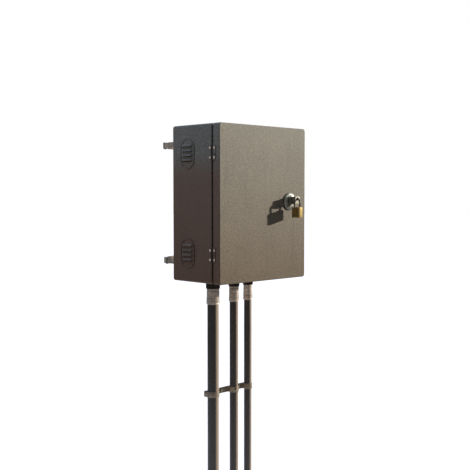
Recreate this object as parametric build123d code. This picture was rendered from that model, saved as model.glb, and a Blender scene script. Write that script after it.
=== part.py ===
from build123d import *

import os
from math import acos, atan2, cos, hypot, sin

# Pole-mounted electrical enclosure, in millimetres.
# Origin: on the axis of the pole that carries it, level with the middle of the box.
# +Z runs up the pole, the door faces -Y, and +X is to the right of someone facing the door.

# ---------------------------------------------------------------- driving dimensions
# box and door
BOX_W = 406.0            # width across the side walls
BOX_H = 508.0            # height
BODY_D = 186.0           # depth of the body, from its front edge to its back
SHEET = 1.9              # wall of body, door and back panel
CORNER_R = 9.0           # outline corner, seen from the front
BEND_R = 3.0             # outside radius of a fold
DOOR_FLANGE = 28.5       # how far the door's edges are folded back
DOOR_GAP = 8.5           # open joint between door flange and body
LIP_INSET = 16.0         # from the side wall in to the raised lip
GASKET_T = 5.5
GASKET_W = 12.0
GASKET_PLAY = 0.5        # lip to gasket

# pole mounting
POLE_R = 101.6           # 8 inch pole
BRACKET_D = 15.0         # pole to back of box
BRACKET_T = 2.5
BRACKET_H = 40.0
BRACKET_HALF = 118.0     # half length of a bracket
BRACKET_LEG_X = 62.0     # outside of a bracket's legs
BRACKET_CORNER_R = 6.0
BOLT_X = 95.0            # bracket bolts, each side of the middle
BOLT_R = 4.0             # M8
BOLT_AF = 13.0           # across flats
BOLT_HEAD_T = 5.3
BOLT_NUT_T = 6.5
BOLT_OUT = 9.0           # shank past the bracket's foot
WASHER_R = 8.5
WASHER_T = 1.5
BAND_FROM_END = 51.5     # band to the box's top or bottom
BAND_W = 19.0
BAND_T = 1.0
BAND_PLAY = 0.2          # band to the bracket's web
BAND_CORNER_OUT = 3.0    # band's bend outside the bracket's leg
SLOT_PLAY = 1.5          # band's edge to the end of its slot
BUCKLE_AT = {"upper": 135.0, "lower": 156.0}  # degrees round the pole from +X
BUCKLE_L = 28.0
BUCKLE_TALL = 23.4
BUCKLE_H = 10.0
BUCKLE_SLIT = 1.0        # between the folded ears
BUCKLE_ROUND = 3.5
BUCKLE_CORNER_R = 2.0
BUCKLE_PLAY = 0.5
BUCKLE_WALL = 5.0        # clip under the band's tail

# hinges
HINGE_FROM_END = 93.0    # hinge's middle to the box's top or bottom
HINGE_H = 46.0
LEAF_T = 1.6
LEAF_BEYOND = 5.1        # a rivet to the edge of its leaf
AXIS_OUT = 1.2           # pin axis outside a leaf's face
LEAF_CORNER_R = 3.0
KNUCKLE_RELIEF = 0.5     # leaf's edge to the other leaf's knuckle
KNUCKLE_R = 3.1          # just under half the door gap
KNUCKLE_GAP = 0.3
HINGE_PIN_R = 1.5
HINGE_PIN_PLAY = 0.06
HINGE_PIN_PRESS = 0.02   # play where the pin is held
PIN_HEAD_GROW = 1.0
PIN_HEAD_T = 1.2
RIVET_PITCH = 30.0
RIVET_IN = 5.15          # edge of the sheet to a rivet
RIVET_R = 2.0
RIVET_HEAD_R = 3.75
RIVET_HEAD_H = 1.6
RIVET_TAIL_GROW = 0.75
RIVET_TAIL_H = 1.2

# oblong vents in the left wall, rounded at both ends
VENT_FROM_END = 93.0     # vent's centre to the box's top or bottom
VENT_BEHIND = 150.0      # centre, behind the door's face
VENT_W = 66.0
VENT_H = 98.0
VENT_T = 1.4
VENT_RIM_W = 3.5
VENT_RIM_H = 3.2
VENT_RIM_ROUND = 1.6
COLLAR_INSET = 4.0       # collar inside the vent's outline
COLLAR_L = 9.0
LOUVRES = 4
LOUVRE_PITCH = 15.5
LOUVRE_UP = 4.0          # middle of the stack above the vent's centre
LOUVRE_L = 48.0
LOUVRE_H = 8.5
LOUVRE_D = 6.5
LOUVRE_T = 1.2
LOUVRE_ROOT = 0.2        # how far a hood's foot is sunk in the plate

# latch
LATCH_FROM_RIGHT = 81.0  # latch axis to the door's right edge
LATCH_Z = 6.0
DISH_R = 28.5
DISH_T = 7.0
DISH_BOWL_R = 24.0
DISH_BOWL_D = 2.2
DISH_EDGE_R = 2.0
BOWL_EDGE_R = 1.8
SEAL_T = 1.2
BARREL_R = 11.0
BARREL_SHORT = 0.4       # barrel's end to the cam
SPINDLE_R = 6.0
SPINDLE_PLAY = 0.08
HOLE_PLAY = 0.2
NUT_T = 6.0
NUT_AF = 30.0            # across flats
CAM_T = 3.0
CAM_W = 18.0
CAM_BEHIND_LIP = 0.7     # cam to the back of the body's front fold
CAM_SQUARE = 7.9
CAM_SQUARE_SHORT = 0.3   # so that the screw's washer grips the cam
CAM_SCREW_HOLE = 10.0
CAM_SCREW_L = 8.0
CAM_SCREW_R = 2.05
CAM_SCREW_PLAY = 0.1
CAM_WASHER_R = 7.5
CAM_WASHER_T = 1.5
CAM_SCREW_AF = 8.0
CAM_SCREW_TALL = 5.0
CAM_OVERLAP = 4.5        # how far the turned cam reaches past the lip
STAPLE_W = 26.0          # padlock staple on the handle
STAPLE_WALL = 3.5
STAPLE_TOP = 18.0        # above the latch axis
STAPLE_FOOT = 14.0       # below the latch axis
STAPLE_T = 4.0
EYE_R = 4.0
EYE_UP = 9.7             # eye centre above the latch axis
CHEEK_END = 7.0          # cheeks stop this far below the latch axis
HUB_OUT = 1.2            # staple plate in front of the dish
HUB_SET_IN = 1.0
HUB_OFF_BOWL = 0.4
STAPLE_BEND_R = 2.0
STAPLE_END_R = 8.0

# padlock
LOCK_W = 34.5
LOCK_T = 18.0
LOCK_H = 34.5
LOCK_OFF_DOOR = 18.5     # body to the door's face
LOCK_CORNER_R = 3.0
LOCK_EDGE_R = 1.0
BAR_R = 3.0
LEG_PITCH = 24.0
CROWN_UP = 31.0          # body's top to the top of the shackle
EYE_PLAY = 0.35
BAR_PLAY = 0.08
HEEL_DEPTH = 24.0
TOE_DEPTH = 8.5
LEG_BOTTOM_PLAY = 1.0
RELEASE = 10.0           # travel that frees the short leg
PLUG_R = 5.5
PLUG_L = 18.0
PLUG_OUT = 0.4
PLUG_END_PLAY = 0.3
KEYWAY_W = 1.4
KEYWAY_H = 7.6
KEYWAY_D = 14.0

# inside
PANEL_SIDE = 33.0        # panel's edge to the side wall's outside
PANEL_END = 34.0         # and to the top's or bottom's
PANEL_CORNER_R = 8.0
PANEL_OFF = 14.0         # back wall to the panel
STUD_INSET = 16.0
STUD_R = 3.0
STUD_COLLAR_R = 6.5
STUD_OUT = 11.0          # stud past the panel
PANEL_NUT_AF = 10.0
PANEL_NUT_T = 5.0
DIN_Z = 70.0
DIN_L = 260.0
DIN_H = 35.0
DIN_D = 7.5
DIN_T = 1.0
DIN_CROWN = 13.5         # half height of the rail's crown
DIN_SCREW_INSET = 12.0
DIN_SCREW_R = 2.5
DIN_HEAD_R = 4.5
DIN_HEAD_H = 2.6
DIN_HEAD_ROUND = 1.5
DIN_GRIP = 5.5           # case behind the rail's brim
POLE_PITCH = 17.8        # width of one breaker pole
BREAKER_H = 84.0
BREAKER_D = 44.0
NOSE_H = 45.0
NOSE_D = 18.0
NOSE_ROUND = 2.5
LEVER_R = 7.0
LEVER_TILT = 22.0        # lever angle from straight out, up when on
LEVER_PLAY = 0.3
LEVER_IN = 4.0           # lever axis behind the nose's face
LEVER_GRIP = 9.0         # grip past the hub
GRIP_T = 4.8
GRIP_ROUND = 1.5
LEVER_INSET = 4.0        # lever's end from the case's side
SCREW_WELL_R = 3.2
SCREW_WELL_D = 6.0
SCREW_WELL_IN = 9.0      # well's centre from the case's end
WIRE_MOUTH_W = 7.0
WIRE_MOUTH_D = 8.0
WIRE_MOUTH_IN = 10.0     # behind the case's front
WIRE_MOUTH_TALL = 9.0
RAIL_PLAY = 0.3
CASE_PLAY = 0.15         # each side of a moulding on the rail
BREAKERS = (("main", -88.0, 2), ("left", -50.0, 1), ("right", -31.0, 1))  # x and poles
TERMINALS = 6
TERMINAL_W = 8.0
TERMINAL_H = 52.0
TERMINAL_D = 36.0
TERMINAL_MOUTH_IN = 8.0
TERMINAL_MOUTH_TALL = 7.0
TERMINAL_MOUTH_W = 4.8
TERMINAL_END = 30.0      # row's end to the rail's end
BAR_L = 120.0            # earth bar
BAR_SCREWS = 8
BAR_Z = -150.0
EARTH_H = 12.0
EARTH_T = 9.0
EARTH_OFF = 18.0         # bar's front to the panel
EARTH_END = 8.0          # first screw to the bar's end
EARTH_SCREW_R = 2.0
EARTH_HEAD_R = 3.6
EARTH_HEAD_H = 2.4
EARTH_SLOT_W = 1.0
EARTH_SLOT_D = 1.0
EARTH_TAPPED = 6.0       # depth of the screw holes
EARTH_SCREW_IN = 3.2
EARTH_WIRE_R = 1.9
EARTH_WIRE_IN = 5.4      # wire hole behind the bar's front
FOOT_W = 10.0

# conduits: (name, x of the axis, outside radius)
CONDUITS = (("left", -91.0, 19.2), ("middle", 11.5, 14.75), ("right", 81.0, 13.35))
CONDUIT_BEHIND = 150.0   # left conduit's axis behind the door's face
CONDUIT_WALL = 2.0
CONDUIT_END_Z = -972.0
FITTING_END_Z = -337.0
GLAND_H = 21.0
GLAND_WALL = 3.0
GLAND_ROUND = 1.2
GLAND_GROOVE_UP = 15.0
CONDUIT_SEAT = 30.0      # how far a conduit goes up into its connector
THROAT_STEP = 1.0        # connector's throat inside the conduit's bore
GROOVE_W = 1.6
BARREL_WALL = 2.2
BARREL_GROOVE_D = 1.0
BARREL_GROOVES_UP = (7.0, 23.0)
FLANGE_AF_EXTRA = 8.2    # across flats over the conduit's diameter
FLANGE_T = 27.5
FLANGE_TURN = 15.0       # how far the connectors' hexagons are tightened past square
ENTRY_SEAL_T = 2.5
NIPPLE_EXTRA = 2.0       # thread radius over the conduit's
NIPPLE_UP = 15.0         # thread inside the box
LOCKNUT_T = 4.0
LOCKNUT_WALL = 3.5
LOCKNUT_LOBES = 8
LOBE = 5.0
BUSHING_WALL = 2.6
BUSHING_CAP = 2.5
BUSHING_ROUND = 1.2
BUSHING_OFF_NUT = 0.4
RING_WALL = 4.0          # entry ring outside over the conduit's radius
STRAP_Z = -641.0
STRAP_W = 19.0
STRAP_T = 2.0
STRAP_HOOK = 8.0         # fold behind the bar, at each end of the strap
STRAP_BAR_T = 3.0
STRAP_BOLT_R = 3.0       # M6
STRAP_BOLT_AF = 10.0
STRAP_HEAD_T = 4.0
STRAP_NUT_T = 5.0
STRAP_BOLT_OUT = 8.0     # shank past the bar
CLEAR = 0.1              # between pieces that are fastened together
OVER = 1.0               # how far a cutting shape runs past a face

# ---------------------------------------------------------------- places that follow
BACK_Y = -(POLE_R + BRACKET_D)
BODY_FRONT_Y = BACK_Y - BODY_D
HINGE_Y = BODY_FRONT_Y - DOOR_GAP / 2
RIVET_AT = DOOR_GAP / 2 + RIVET_IN
LEAF_W = RIVET_AT + LEAF_BEYOND
FLANGE_Y = BODY_FRONT_Y - DOOR_GAP
FRONT_Y = FLANGE_Y - DOOR_FLANGE
BACK_IN_Y = BACK_Y - SHEET
LIP_FRONT_Y = FRONT_Y + SHEET + GASKET_T + GASKET_PLAY
LEFT_X = -BOX_W / 2
BAND_Z = BOX_H / 2 - BAND_FROM_END
HINGE_Z = BOX_H / 2 - HINGE_FROM_END
VENT_Z = BOX_H / 2 - VENT_FROM_END
HINGE_X = LEFT_X - LEAF_T - AXIS_OUT
BOTTOM_Z = -BOX_H / 2
LATCH_X = BOX_W / 2 - LATCH_FROM_RIGHT
DISH_BACK_Y = FRONT_Y - SEAL_T
DISH_FRONT_Y = DISH_BACK_Y - DISH_T
CAM_Y = BODY_FRONT_Y + SHEET + CAM_BEHIND_LIP
LOCK_MID_Y = FRONT_Y - LOCK_OFF_DOOR - LOCK_W / 2
EYE_Z = LATCH_Z + EYE_UP
EYE_SAG = LEG_PITCH / 2 - (LEG_PITCH ** 2 / 4 - STAPLE_T ** 2 / 4) ** 0.5
SHACKLE_Z = EYE_Z - EYE_R + BAR_R + EYE_PLAY + EYE_SAG
LOCK_TOP_Z = SHACKLE_Z + BAR_R - CROWN_UP
PANEL_W = BOX_W - 2 * PANEL_SIDE
PANEL_H = BOX_H - 2 * PANEL_END
PANEL_BACK_Y = BACK_IN_Y - PANEL_OFF
PANEL_FRONT_Y = PANEL_BACK_Y - SHEET
DIN_FRONT_Y = PANEL_FRONT_Y - DIN_D
STRAP_BACK_Y = FRONT_Y + CONDUIT_BEHIND + CONDUITS[0][2]


# ---------------------------------------------------------------- small helpers
def prism_z(sketch, z0, z1):
    """Carry a sketch (x, y) up from z0 to z1."""
    return Pos(0, 0, z0) * extrude(sketch, amount=z1 - z0)


def prism_y(sketch, y0, y1):
    """Carry a sketch (x, z) along Y from y0 to y1."""
    return Pos(0, y1, 0) * extrude(Plane.XZ * sketch, amount=y1 - y0)


def prism_x(sketch, x0, x1):
    """Carry a sketch (y, z) along X from x0 to x1."""
    return Pos(x0, 0, 0) * extrude(Plane.YZ * sketch, amount=x1 - x0)


def rod_x(y, z, r, x0, x1):
    return prism_x(Pos(y, z) * Circle(r), x0, x1)


def rod_y(x, z, r, y0, y1):
    return prism_y(Pos(x, z) * Circle(r), y0, y1)


def rod_z(x, y, r, z0, z1):
    return prism_z(Pos(x, y) * Circle(r), z0, z1)


def block(x0, x1, y0, y1, z0, z1):
    return Pos(x0, y0, z0) * Box(x1 - x0, y1 - y0, z1 - z0, align=(Align.MIN,) * 3)


def hexagon(across_flats):
    return RegularPolygon(across_flats / 2, 6, major_radius=False)


def frame_y(w, h, wall, corner_r, y0, y1):
    """A rectangular ring, w by h outside, as seen along Y."""
    inner_r = max(corner_r - wall, 0.5)
    outer = RectangleRounded(w, h, corner_r)
    return prism_y(outer - RectangleRounded(w - 2 * wall, h - 2 * wall, inner_r), y0, y1)


def tray(y_shut, y_open):
    """A folded sheet tray of the box's outline, shut at y_shut and open at y_open."""
    lo, hi = sorted((y_shut, y_open))
    step = SHEET if y_open > y_shut else -SHEET
    outer = prism_y(RectangleRounded(BOX_W, BOX_H, CORNER_R), lo, hi)
    outer = fillet(outer.edges().filter_by_position(Axis.Y, y_shut, y_shut), BEND_R)
    lo_in, hi_in = sorted((y_shut + step, y_open + step))
    inner = prism_y(RectangleRounded(BOX_W - 2 * SHEET, BOX_H - 2 * SHEET, CORNER_R - SHEET), lo_in, hi_in)
    floor_edges = inner.edges().filter_by_position(Axis.Y, y_shut + step, y_shut + step)
    return outer - fillet(floor_edges, BEND_R - SHEET)


def group(solids):
    """Several separate solids kept as one node."""
    return Compound(children=[Solid(s.solids()[0].wrapped) for s in solids])


def save(shape, node):
    """Write one node's STEP file."""
    export_step(shape, f"parts/{node}.step")


def conduit_y(r):
    """Conduits lie with their backs in one plane, so the thin ones sit further back."""
    return STRAP_BACK_Y - r


def rivet_places():
    """Heights of the eight hinge rivets' rows."""
    return [s * HINGE_Z + t * RIVET_PITCH / 2 for s in (1, -1) for t in (1, -1)]


def panel_corners():
    x, z = PANEL_W / 2 - STUD_INSET, PANEL_H / 2 - STUD_INSET
    return [(sx * x, sz * z) for sx in (1, -1) for sz in (1, -1)]


def bolt_places():
    return [(sx * BOLT_X, sz * BAND_Z) for sx in (1, -1) for sz in (1, -1)]


# ---------------------------------------------------------------- box and door
def make_body():
    lip_w = BOX_W - 2 * LIP_INSET
    lip_h = BOX_H - 2 * LIP_INSET
    through_wall = (LEFT_X - OVER, LEFT_X + SHEET + OVER)
    through_back = (BACK_IN_Y - OVER, BACK_Y + OVER)
    body = tray(BACK_Y, BODY_FRONT_Y)
    body += frame_y(BOX_W, BOX_H, LIP_INSET + SHEET, CORNER_R, BODY_FRONT_Y, BODY_FRONT_Y + SHEET)
    body += frame_y(lip_w, lip_h, SHEET, BEND_R, LIP_FRONT_Y, BODY_FRONT_Y + SHEET)
    for _, x, r in CONDUITS:
        hole_r = r + NIPPLE_EXTRA + HOLE_PLAY
        body -= rod_z(x, conduit_y(r), hole_r, BOTTOM_Z - OVER, BOTTOM_Z + SHEET + OVER)
    for s in (1, -1):
        body -= prism_x(vent_outline(s * VENT_Z, COLLAR_INSET - HOLE_PLAY), *through_wall)
    for z in rivet_places():
        body -= rod_x(HINGE_Y + RIVET_AT, z, RIVET_R + CLEAR, *through_wall)
    for x, z in bolt_places():
        body -= rod_y(x, z, BOLT_R + CLEAR, *through_back)
    return body


def make_door():
    door = tray(FRONT_Y, FLANGE_Y)
    door -= rod_y(LATCH_X, LATCH_Z, BARREL_R + HOLE_PLAY, FRONT_Y - OVER, FRONT_Y + SHEET + OVER)
    for z in rivet_places():
        door -= rod_x(HINGE_Y - RIVET_AT, z, RIVET_R + CLEAR, LEFT_X - OVER, LEFT_X + SHEET + OVER)
    return door


def make_gasket():
    over = (GASKET_W - SHEET) / 2
    w = BOX_W - 2 * (LIP_INSET - over)
    h = BOX_H - 2 * (LIP_INSET - over)
    return frame_y(w, h, GASKET_W, CORNER_R, FRONT_Y + SHEET, FRONT_Y + SHEET + GASKET_T)


# ---------------------------------------------------------------- hinges
def make_leaf(z_mid, side):
    """One hinge leaf: side +1 lies on the body, -1 on the door's flange."""
    half, sixth, gap = HINGE_H / 2, HINGE_H / 6, KNUCKLE_GAP / 2
    leaf_x = (LEFT_X - LEAF_T, LEFT_X)
    clear_of_pin = KNUCKLE_R + KNUCKLE_RELIEF
    y_span = sorted((HINGE_Y + side * clear_of_pin, HINGE_Y + side * LEAF_W))
    leaf = block(*leaf_x, *y_span, z_mid - half, z_mid + half)
    leaf = fillet(leaf.edges().filter_by(Axis.X).sort_by(Axis.Y)[:: -side][:2], LEAF_CORNER_R)
    if side > 0:
        spans = [(-half, -sixth - gap), (sixth + gap, half)]
    else:
        spans = [(-sixth + gap, sixth - gap)]
    tongue_y = sorted((HINGE_Y, HINGE_Y + side * (clear_of_pin + KNUCKLE_RELIEF)))
    for lo, hi in spans:
        leaf += block(*leaf_x, *tongue_y, z_mid + lo, z_mid + hi)
        leaf += rod_z(HINGE_X, HINGE_Y, KNUCKLE_R, z_mid + lo, z_mid + hi)
    play = HINGE_PIN_PRESS if side > 0 else HINGE_PIN_PLAY
    leaf -= rod_z(HINGE_X, HINGE_Y, HINGE_PIN_R + play, z_mid - HINGE_H, z_mid + HINGE_H)
    for t in (1, -1):
        y, z = HINGE_Y + side * RIVET_AT, z_mid + t * RIVET_PITCH / 2
        leaf -= rod_x(y, z, RIVET_R + CLEAR, LEFT_X - LEAF_T - OVER, LEFT_X + OVER)
    return leaf


def make_hinge_pins():
    """Pins with a small head past each end of the knuckles."""
    pins = []
    for s in (1, -1):
        pin_end = HINGE_H / 2 + CLEAR + PIN_HEAD_T / 2
        z_mid = s * HINGE_Z
        pin = rod_z(HINGE_X, HINGE_Y, HINGE_PIN_R, z_mid - pin_end, z_mid + pin_end)
        for end in (1, -1):
            z0 = z_mid + end * (HINGE_H / 2 + CLEAR)
            head_z = sorted((z0, z0 + end * PIN_HEAD_T))
            pin += rod_z(HINGE_X, HINGE_Y, HINGE_PIN_R + PIN_HEAD_GROW, *head_z)
        pins.append(pin)
    return group(pins)


def make_rivets(side):
    """Domed rivets through a leaf and the sheet behind it."""
    rivets = []
    y = HINGE_Y + side * RIVET_AT
    outer_x = LEFT_X - LEAF_T
    inner_x = LEFT_X + SHEET
    for z in rivet_places():
        head = rod_x(y, z, RIVET_HEAD_R, outer_x - RIVET_HEAD_H, outer_x)
        head = fillet(head.edges().sort_by(Axis.X)[0], RIVET_HEAD_H * 0.75)
        shank = rod_x(y, z, RIVET_R, outer_x - RIVET_HEAD_H / 2, inner_x + RIVET_TAIL_H / 2)
        tail = rod_x(y, z, RIVET_R + RIVET_TAIL_GROW, inner_x, inner_x + RIVET_TAIL_H)
        rivets.append(head + shank + tail)
    return group(rivets)


# ---------------------------------------------------------------- vents
def vent_outline(z_mid, inset):
    """The vent's oblong, set in all round."""
    oblong = SlotOverall(VENT_H - 2 * inset, VENT_W - 2 * inset, rotation=90)
    return Pos(FRONT_Y + VENT_BEHIND, z_mid) * oblong


def hood_profile(height, depth):
    """Section of a louvre: flat against the wall, round outside, open below."""
    shoulder = (-0.74 * depth, 0.66 * height)
    arc = ThreePointArc((0, height), shoulder, (-depth, 0))
    return make_face([arc, Line((-depth, 0), (0, 0)), Line((0, 0), (0, height))])


def make_vent(z_mid):
    """An oblong pressed plug with a rolled rim, a collar and a stack of rain hoods."""
    y_mid = FRONT_Y + VENT_BEHIND
    face_x = LEFT_X - VENT_T
    root_x = face_x + LOUVRE_ROOT
    vent = prism_x(vent_outline(z_mid, 0), face_x, LEFT_X)
    rim = prism_x(vent_outline(z_mid, 0), LEFT_X - VENT_RIM_H, LEFT_X)
    rim = fillet(rim.edges().group_by(Axis.X)[0], VENT_RIM_ROUND)
    inside_rim = vent_outline(z_mid, VENT_RIM_W)
    rim -= prism_x(inside_rim, LEFT_X - VENT_RIM_H - OVER, LEFT_X + OVER)
    inside_collar = vent_outline(z_mid, COLLAR_INSET + VENT_T)
    collar = prism_x(vent_outline(z_mid, COLLAR_INSET), face_x + VENT_T / 2, LEFT_X + COLLAR_L)
    collar -= prism_x(inside_collar, LEFT_X, LEFT_X + COLLAR_L + OVER)
    vent = vent + rim + collar
    inner_l = LOUVRE_L - 2 * LOUVRE_T
    inner_h = LOUVRE_H - LOUVRE_T
    slot_y = (y_mid - inner_l / 2, y_mid + inner_l / 2)
    for i in range(LOUVRES):
        z_low = z_mid + LOUVRE_UP + (i - (LOUVRES - 1) / 2) * LOUVRE_PITCH - LOUVRE_H / 2
        outer = Plane.XZ * (Pos(root_x, z_low) * hood_profile(LOUVRE_H, LOUVRE_D))
        inner = Plane.XZ * (Pos(root_x, z_low) * hood_profile(inner_h, LOUVRE_D - LOUVRE_T))
        hood = Pos(0, y_mid + LOUVRE_L / 2, 0) * extrude(outer, amount=LOUVRE_L)
        hollow = Pos(0, y_mid + inner_l / 2, 0) * extrude(inner, amount=inner_l)
        slot = block(face_x - LOUVRE_ROOT, LEFT_X + OVER, *slot_y, z_low, z_low + inner_h)
        vent = vent + hood - hollow - slot
    return vent


# ---------------------------------------------------------------- latch
def make_latch_base():
    """Round dish with a shallow bowl, and the barrel that goes through the door."""
    dish = rod_y(LATCH_X, LATCH_Z, DISH_R, DISH_FRONT_Y, DISH_BACK_Y)
    dish = fillet(dish.edges().sort_by(Axis.Y)[0], DISH_EDGE_R)
    barrel = rod_y(LATCH_X, LATCH_Z, BARREL_R, DISH_BACK_Y - OVER, CAM_Y - BARREL_SHORT)
    bowl = rod_y(LATCH_X, LATCH_Z, DISH_BOWL_R, DISH_FRONT_Y - OVER, DISH_FRONT_Y + DISH_BOWL_D)
    bowl = fillet(bowl.edges().sort_by(Axis.Y)[-1], BOWL_EDGE_R)
    bore = rod_y(LATCH_X, LATCH_Z, SPINDLE_R + SPINDLE_PLAY, DISH_FRONT_Y - OVER, CAM_Y)
    return dish + barrel - bowl - bore


def make_latch_seal():
    ring = Pos(LATCH_X, LATCH_Z) * (Circle(DISH_R - DISH_EDGE_R) - Circle(BARREL_R + CLEAR))
    return prism_y(ring, DISH_BACK_Y, FRONT_Y)


def make_latch_nut():
    nut = Pos(LATCH_X, LATCH_Z) * (hexagon(NUT_AF) - Circle(BARREL_R + CLEAR))
    return prism_y(nut, FRONT_Y + SHEET, FRONT_Y + SHEET + NUT_T)


def make_latch_handle():
    """Spindle, hub and folded padlock staple, turning as one."""
    hub_back = DISH_FRONT_Y + DISH_BOWL_D - HUB_OFF_BOWL
    hub_front = DISH_FRONT_Y - HUB_OUT
    plate_front = hub_front - STAPLE_WALL
    eye_y0 = LOCK_MID_Y - STAPLE_T / 2
    eye_y1 = LOCK_MID_Y + STAPLE_T / 2
    handle = rod_y(LATCH_X, LATCH_Z, SPINDLE_R, hub_front, CAM_Y)
    handle += rod_y(LATCH_X, LATCH_Z, STAPLE_W / 2 - HUB_SET_IN, hub_front, hub_back)
    z0, z1 = LATCH_Z - STAPLE_FOOT, LATCH_Z + STAPLE_TOP
    through_z = (z0 - OVER, z1 + OVER)
    half = STAPLE_W / 2
    inner = half - STAPLE_WALL
    shell = block(LATCH_X - half, LATCH_X + half, eye_y0, hub_front, z0, z1)
    shell = fillet(shell.edges().filter_by(Axis.Z), STAPLE_BEND_R)
    inside = block(LATCH_X - inner, LATCH_X + inner, eye_y1, plate_front, *through_z)
    shell -= fillet(inside.edges().filter_by(Axis.Z), STAPLE_BEND_R / 2)
    outline = Pos(LATCH_X, (z0 + z1) / 2) * RectangleRounded(STAPLE_W, z1 - z0, STAPLE_END_R)
    shell &= prism_y(outline, eye_y0 - OVER, hub_front + OVER)
    cut_x = (LATCH_X - half - OVER, LATCH_X + half + OVER)
    cheek_cut = block(*cut_x, eye_y0 - OVER, plate_front, z0 - OVER, LATCH_Z - CHEEK_END)
    shell -= fillet(cheek_cut.edges().filter_by(Axis.X).sort_by(Axis.Y)[-1], STAPLE_BEND_R)
    shell -= rod_y(LATCH_X, EYE_Z, EYE_R, eye_y0 - OVER, eye_y1 + OVER)
    handle += shell
    square = Pos(LATCH_X, LATCH_Z) * Rectangle(CAM_SQUARE, CAM_SQUARE)
    handle += prism_y(square, CAM_Y - OVER, CAM_Y + CAM_T - CAM_SQUARE_SHORT)
    screw_hole = (CAM_Y - CAM_SCREW_HOLE, CAM_Y + CAM_T + OVER)
    return handle - rod_y(LATCH_X, LATCH_Z, CAM_SCREW_R + CAM_SCREW_PLAY, *screw_hole)


def make_latch_cam():
    """Flat cam, hanging straight down: turned a quarter it reaches behind the lip."""
    reach = BOX_W / 2 - LIP_INSET + CAM_OVERLAP - LATCH_X
    end_r = CAM_W / 2
    bar = Pos(LATCH_X, LATCH_Z - (reach - end_r) / 2) * SlotOverall(reach + end_r, CAM_W, rotation=90)
    bar -= Pos(LATCH_X, LATCH_Z) * Rectangle(CAM_SQUARE + 2 * CLEAR, CAM_SQUARE + 2 * CLEAR)
    return prism_y(bar, CAM_Y, CAM_Y + CAM_T)


def make_cam_screw():
    """Washer, hexagon head and shank in one, up the spindle's end."""
    seat = CAM_Y + CAM_T
    head = Pos(LATCH_X, LATCH_Z) * hexagon(CAM_SCREW_AF)
    screw = rod_y(LATCH_X, LATCH_Z, CAM_WASHER_R, seat, seat + CAM_WASHER_T)
    screw += prism_y(head, seat + CAM_WASHER_T / 2, seat + CAM_SCREW_TALL)
    return screw + rod_y(LATCH_X, LATCH_Z, CAM_SCREW_R, CAM_Y - CAM_SCREW_L, seat + CAM_WASHER_T)


# ---------------------------------------------------------------- padlock
def make_shackle():
    """Round bar bent to a U in the Y-Z plane, long leg next to the door."""
    crown_z = SHACKLE_Z - LEG_PITCH / 2
    heel_y = LOCK_MID_Y + LEG_PITCH / 2
    toe_y = LOCK_MID_Y - LEG_PITCH / 2
    ring = Pos(LATCH_X, heel_y, crown_z) * Circle(BAR_R)
    axis = Axis((LATCH_X, LOCK_MID_Y, crown_z), (1, 0, 0))
    shackle = revolve(ring, axis=axis, revolution_arc=180)
    shackle += rod_z(LATCH_X, heel_y, BAR_R, LOCK_TOP_Z - HEEL_DEPTH, crown_z)
    shackle += rod_z(LATCH_X, toe_y, BAR_R, LOCK_TOP_Z - TOE_DEPTH, crown_z)
    return shackle


def make_lock_body():
    z0, z1 = LOCK_TOP_Z - LOCK_H, LOCK_TOP_Z
    y0, y1 = LOCK_MID_Y - LOCK_W / 2, LOCK_MID_Y + LOCK_W / 2
    lock = block(LATCH_X - LOCK_T / 2, LATCH_X + LOCK_T / 2, y0, y1, z0, z1)
    lock = fillet(lock.edges().filter_by(Axis.Z), LOCK_CORNER_R)
    by_height = lock.edges().group_by(Axis.Z)
    lock = fillet(by_height[0] + by_height[-1], LOCK_EDGE_R)
    bar = BAR_R + BAR_PLAY
    for y, depth in ((LOCK_MID_Y + LEG_PITCH / 2, HEEL_DEPTH), (LOCK_MID_Y - LEG_PITCH / 2, TOE_DEPTH)):
        lock -= rod_z(LATCH_X, y, bar, z1 - depth - LEG_BOTTOM_PLAY, z1 + OVER)
    return lock - rod_z(LATCH_X, LOCK_MID_Y, PLUG_R + BAR_PLAY, z0 - OVER, z0 + PLUG_L + PLUG_END_PLAY)


def make_lock_plug():
    """Key plug, its end just below the body, with a keyway up its middle."""
    z0 = LOCK_TOP_Z - LOCK_H
    plug = rod_z(LATCH_X, LOCK_MID_Y, PLUG_R, z0 - PLUG_OUT, z0 + PLUG_L)
    keyway_x = (LATCH_X - KEYWAY_W / 2, LATCH_X + KEYWAY_W / 2)
    keyway_y = (LOCK_MID_Y - KEYWAY_H / 2, LOCK_MID_Y + KEYWAY_H / 2)
    return plug - block(*keyway_x, *keyway_y, z0 - OVER, z0 + KEYWAY_D)


# ---------------------------------------------------------------- inside
def make_panel():
    panel = prism_y(RectangleRounded(PANEL_W, PANEL_H, PANEL_CORNER_R), PANEL_FRONT_Y, PANEL_BACK_Y)
    for x, z in panel_corners():
        panel -= rod_y(x, z, STUD_R + HOLE_PLAY, PANEL_FRONT_Y - OVER, PANEL_BACK_Y + OVER)
    return panel


def make_panel_studs():
    """Studs welded to the back wall, each with a collar that the panel sits on."""
    studs = []
    for x, z in panel_corners():
        collar = rod_y(x, z, STUD_COLLAR_R, PANEL_BACK_Y, BACK_IN_Y)
        studs.append(collar + rod_y(x, z, STUD_R, PANEL_FRONT_Y - STUD_OUT, BACK_IN_Y))
    return group(studs)


def make_panel_nuts():
    ring = hexagon(PANEL_NUT_AF) - Circle(STUD_R + CLEAR)
    span = (PANEL_FRONT_Y - PANEL_NUT_T, PANEL_FRONT_Y)
    return group(prism_y(Pos(x, z) * ring, *span) for x, z in panel_corners())


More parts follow.
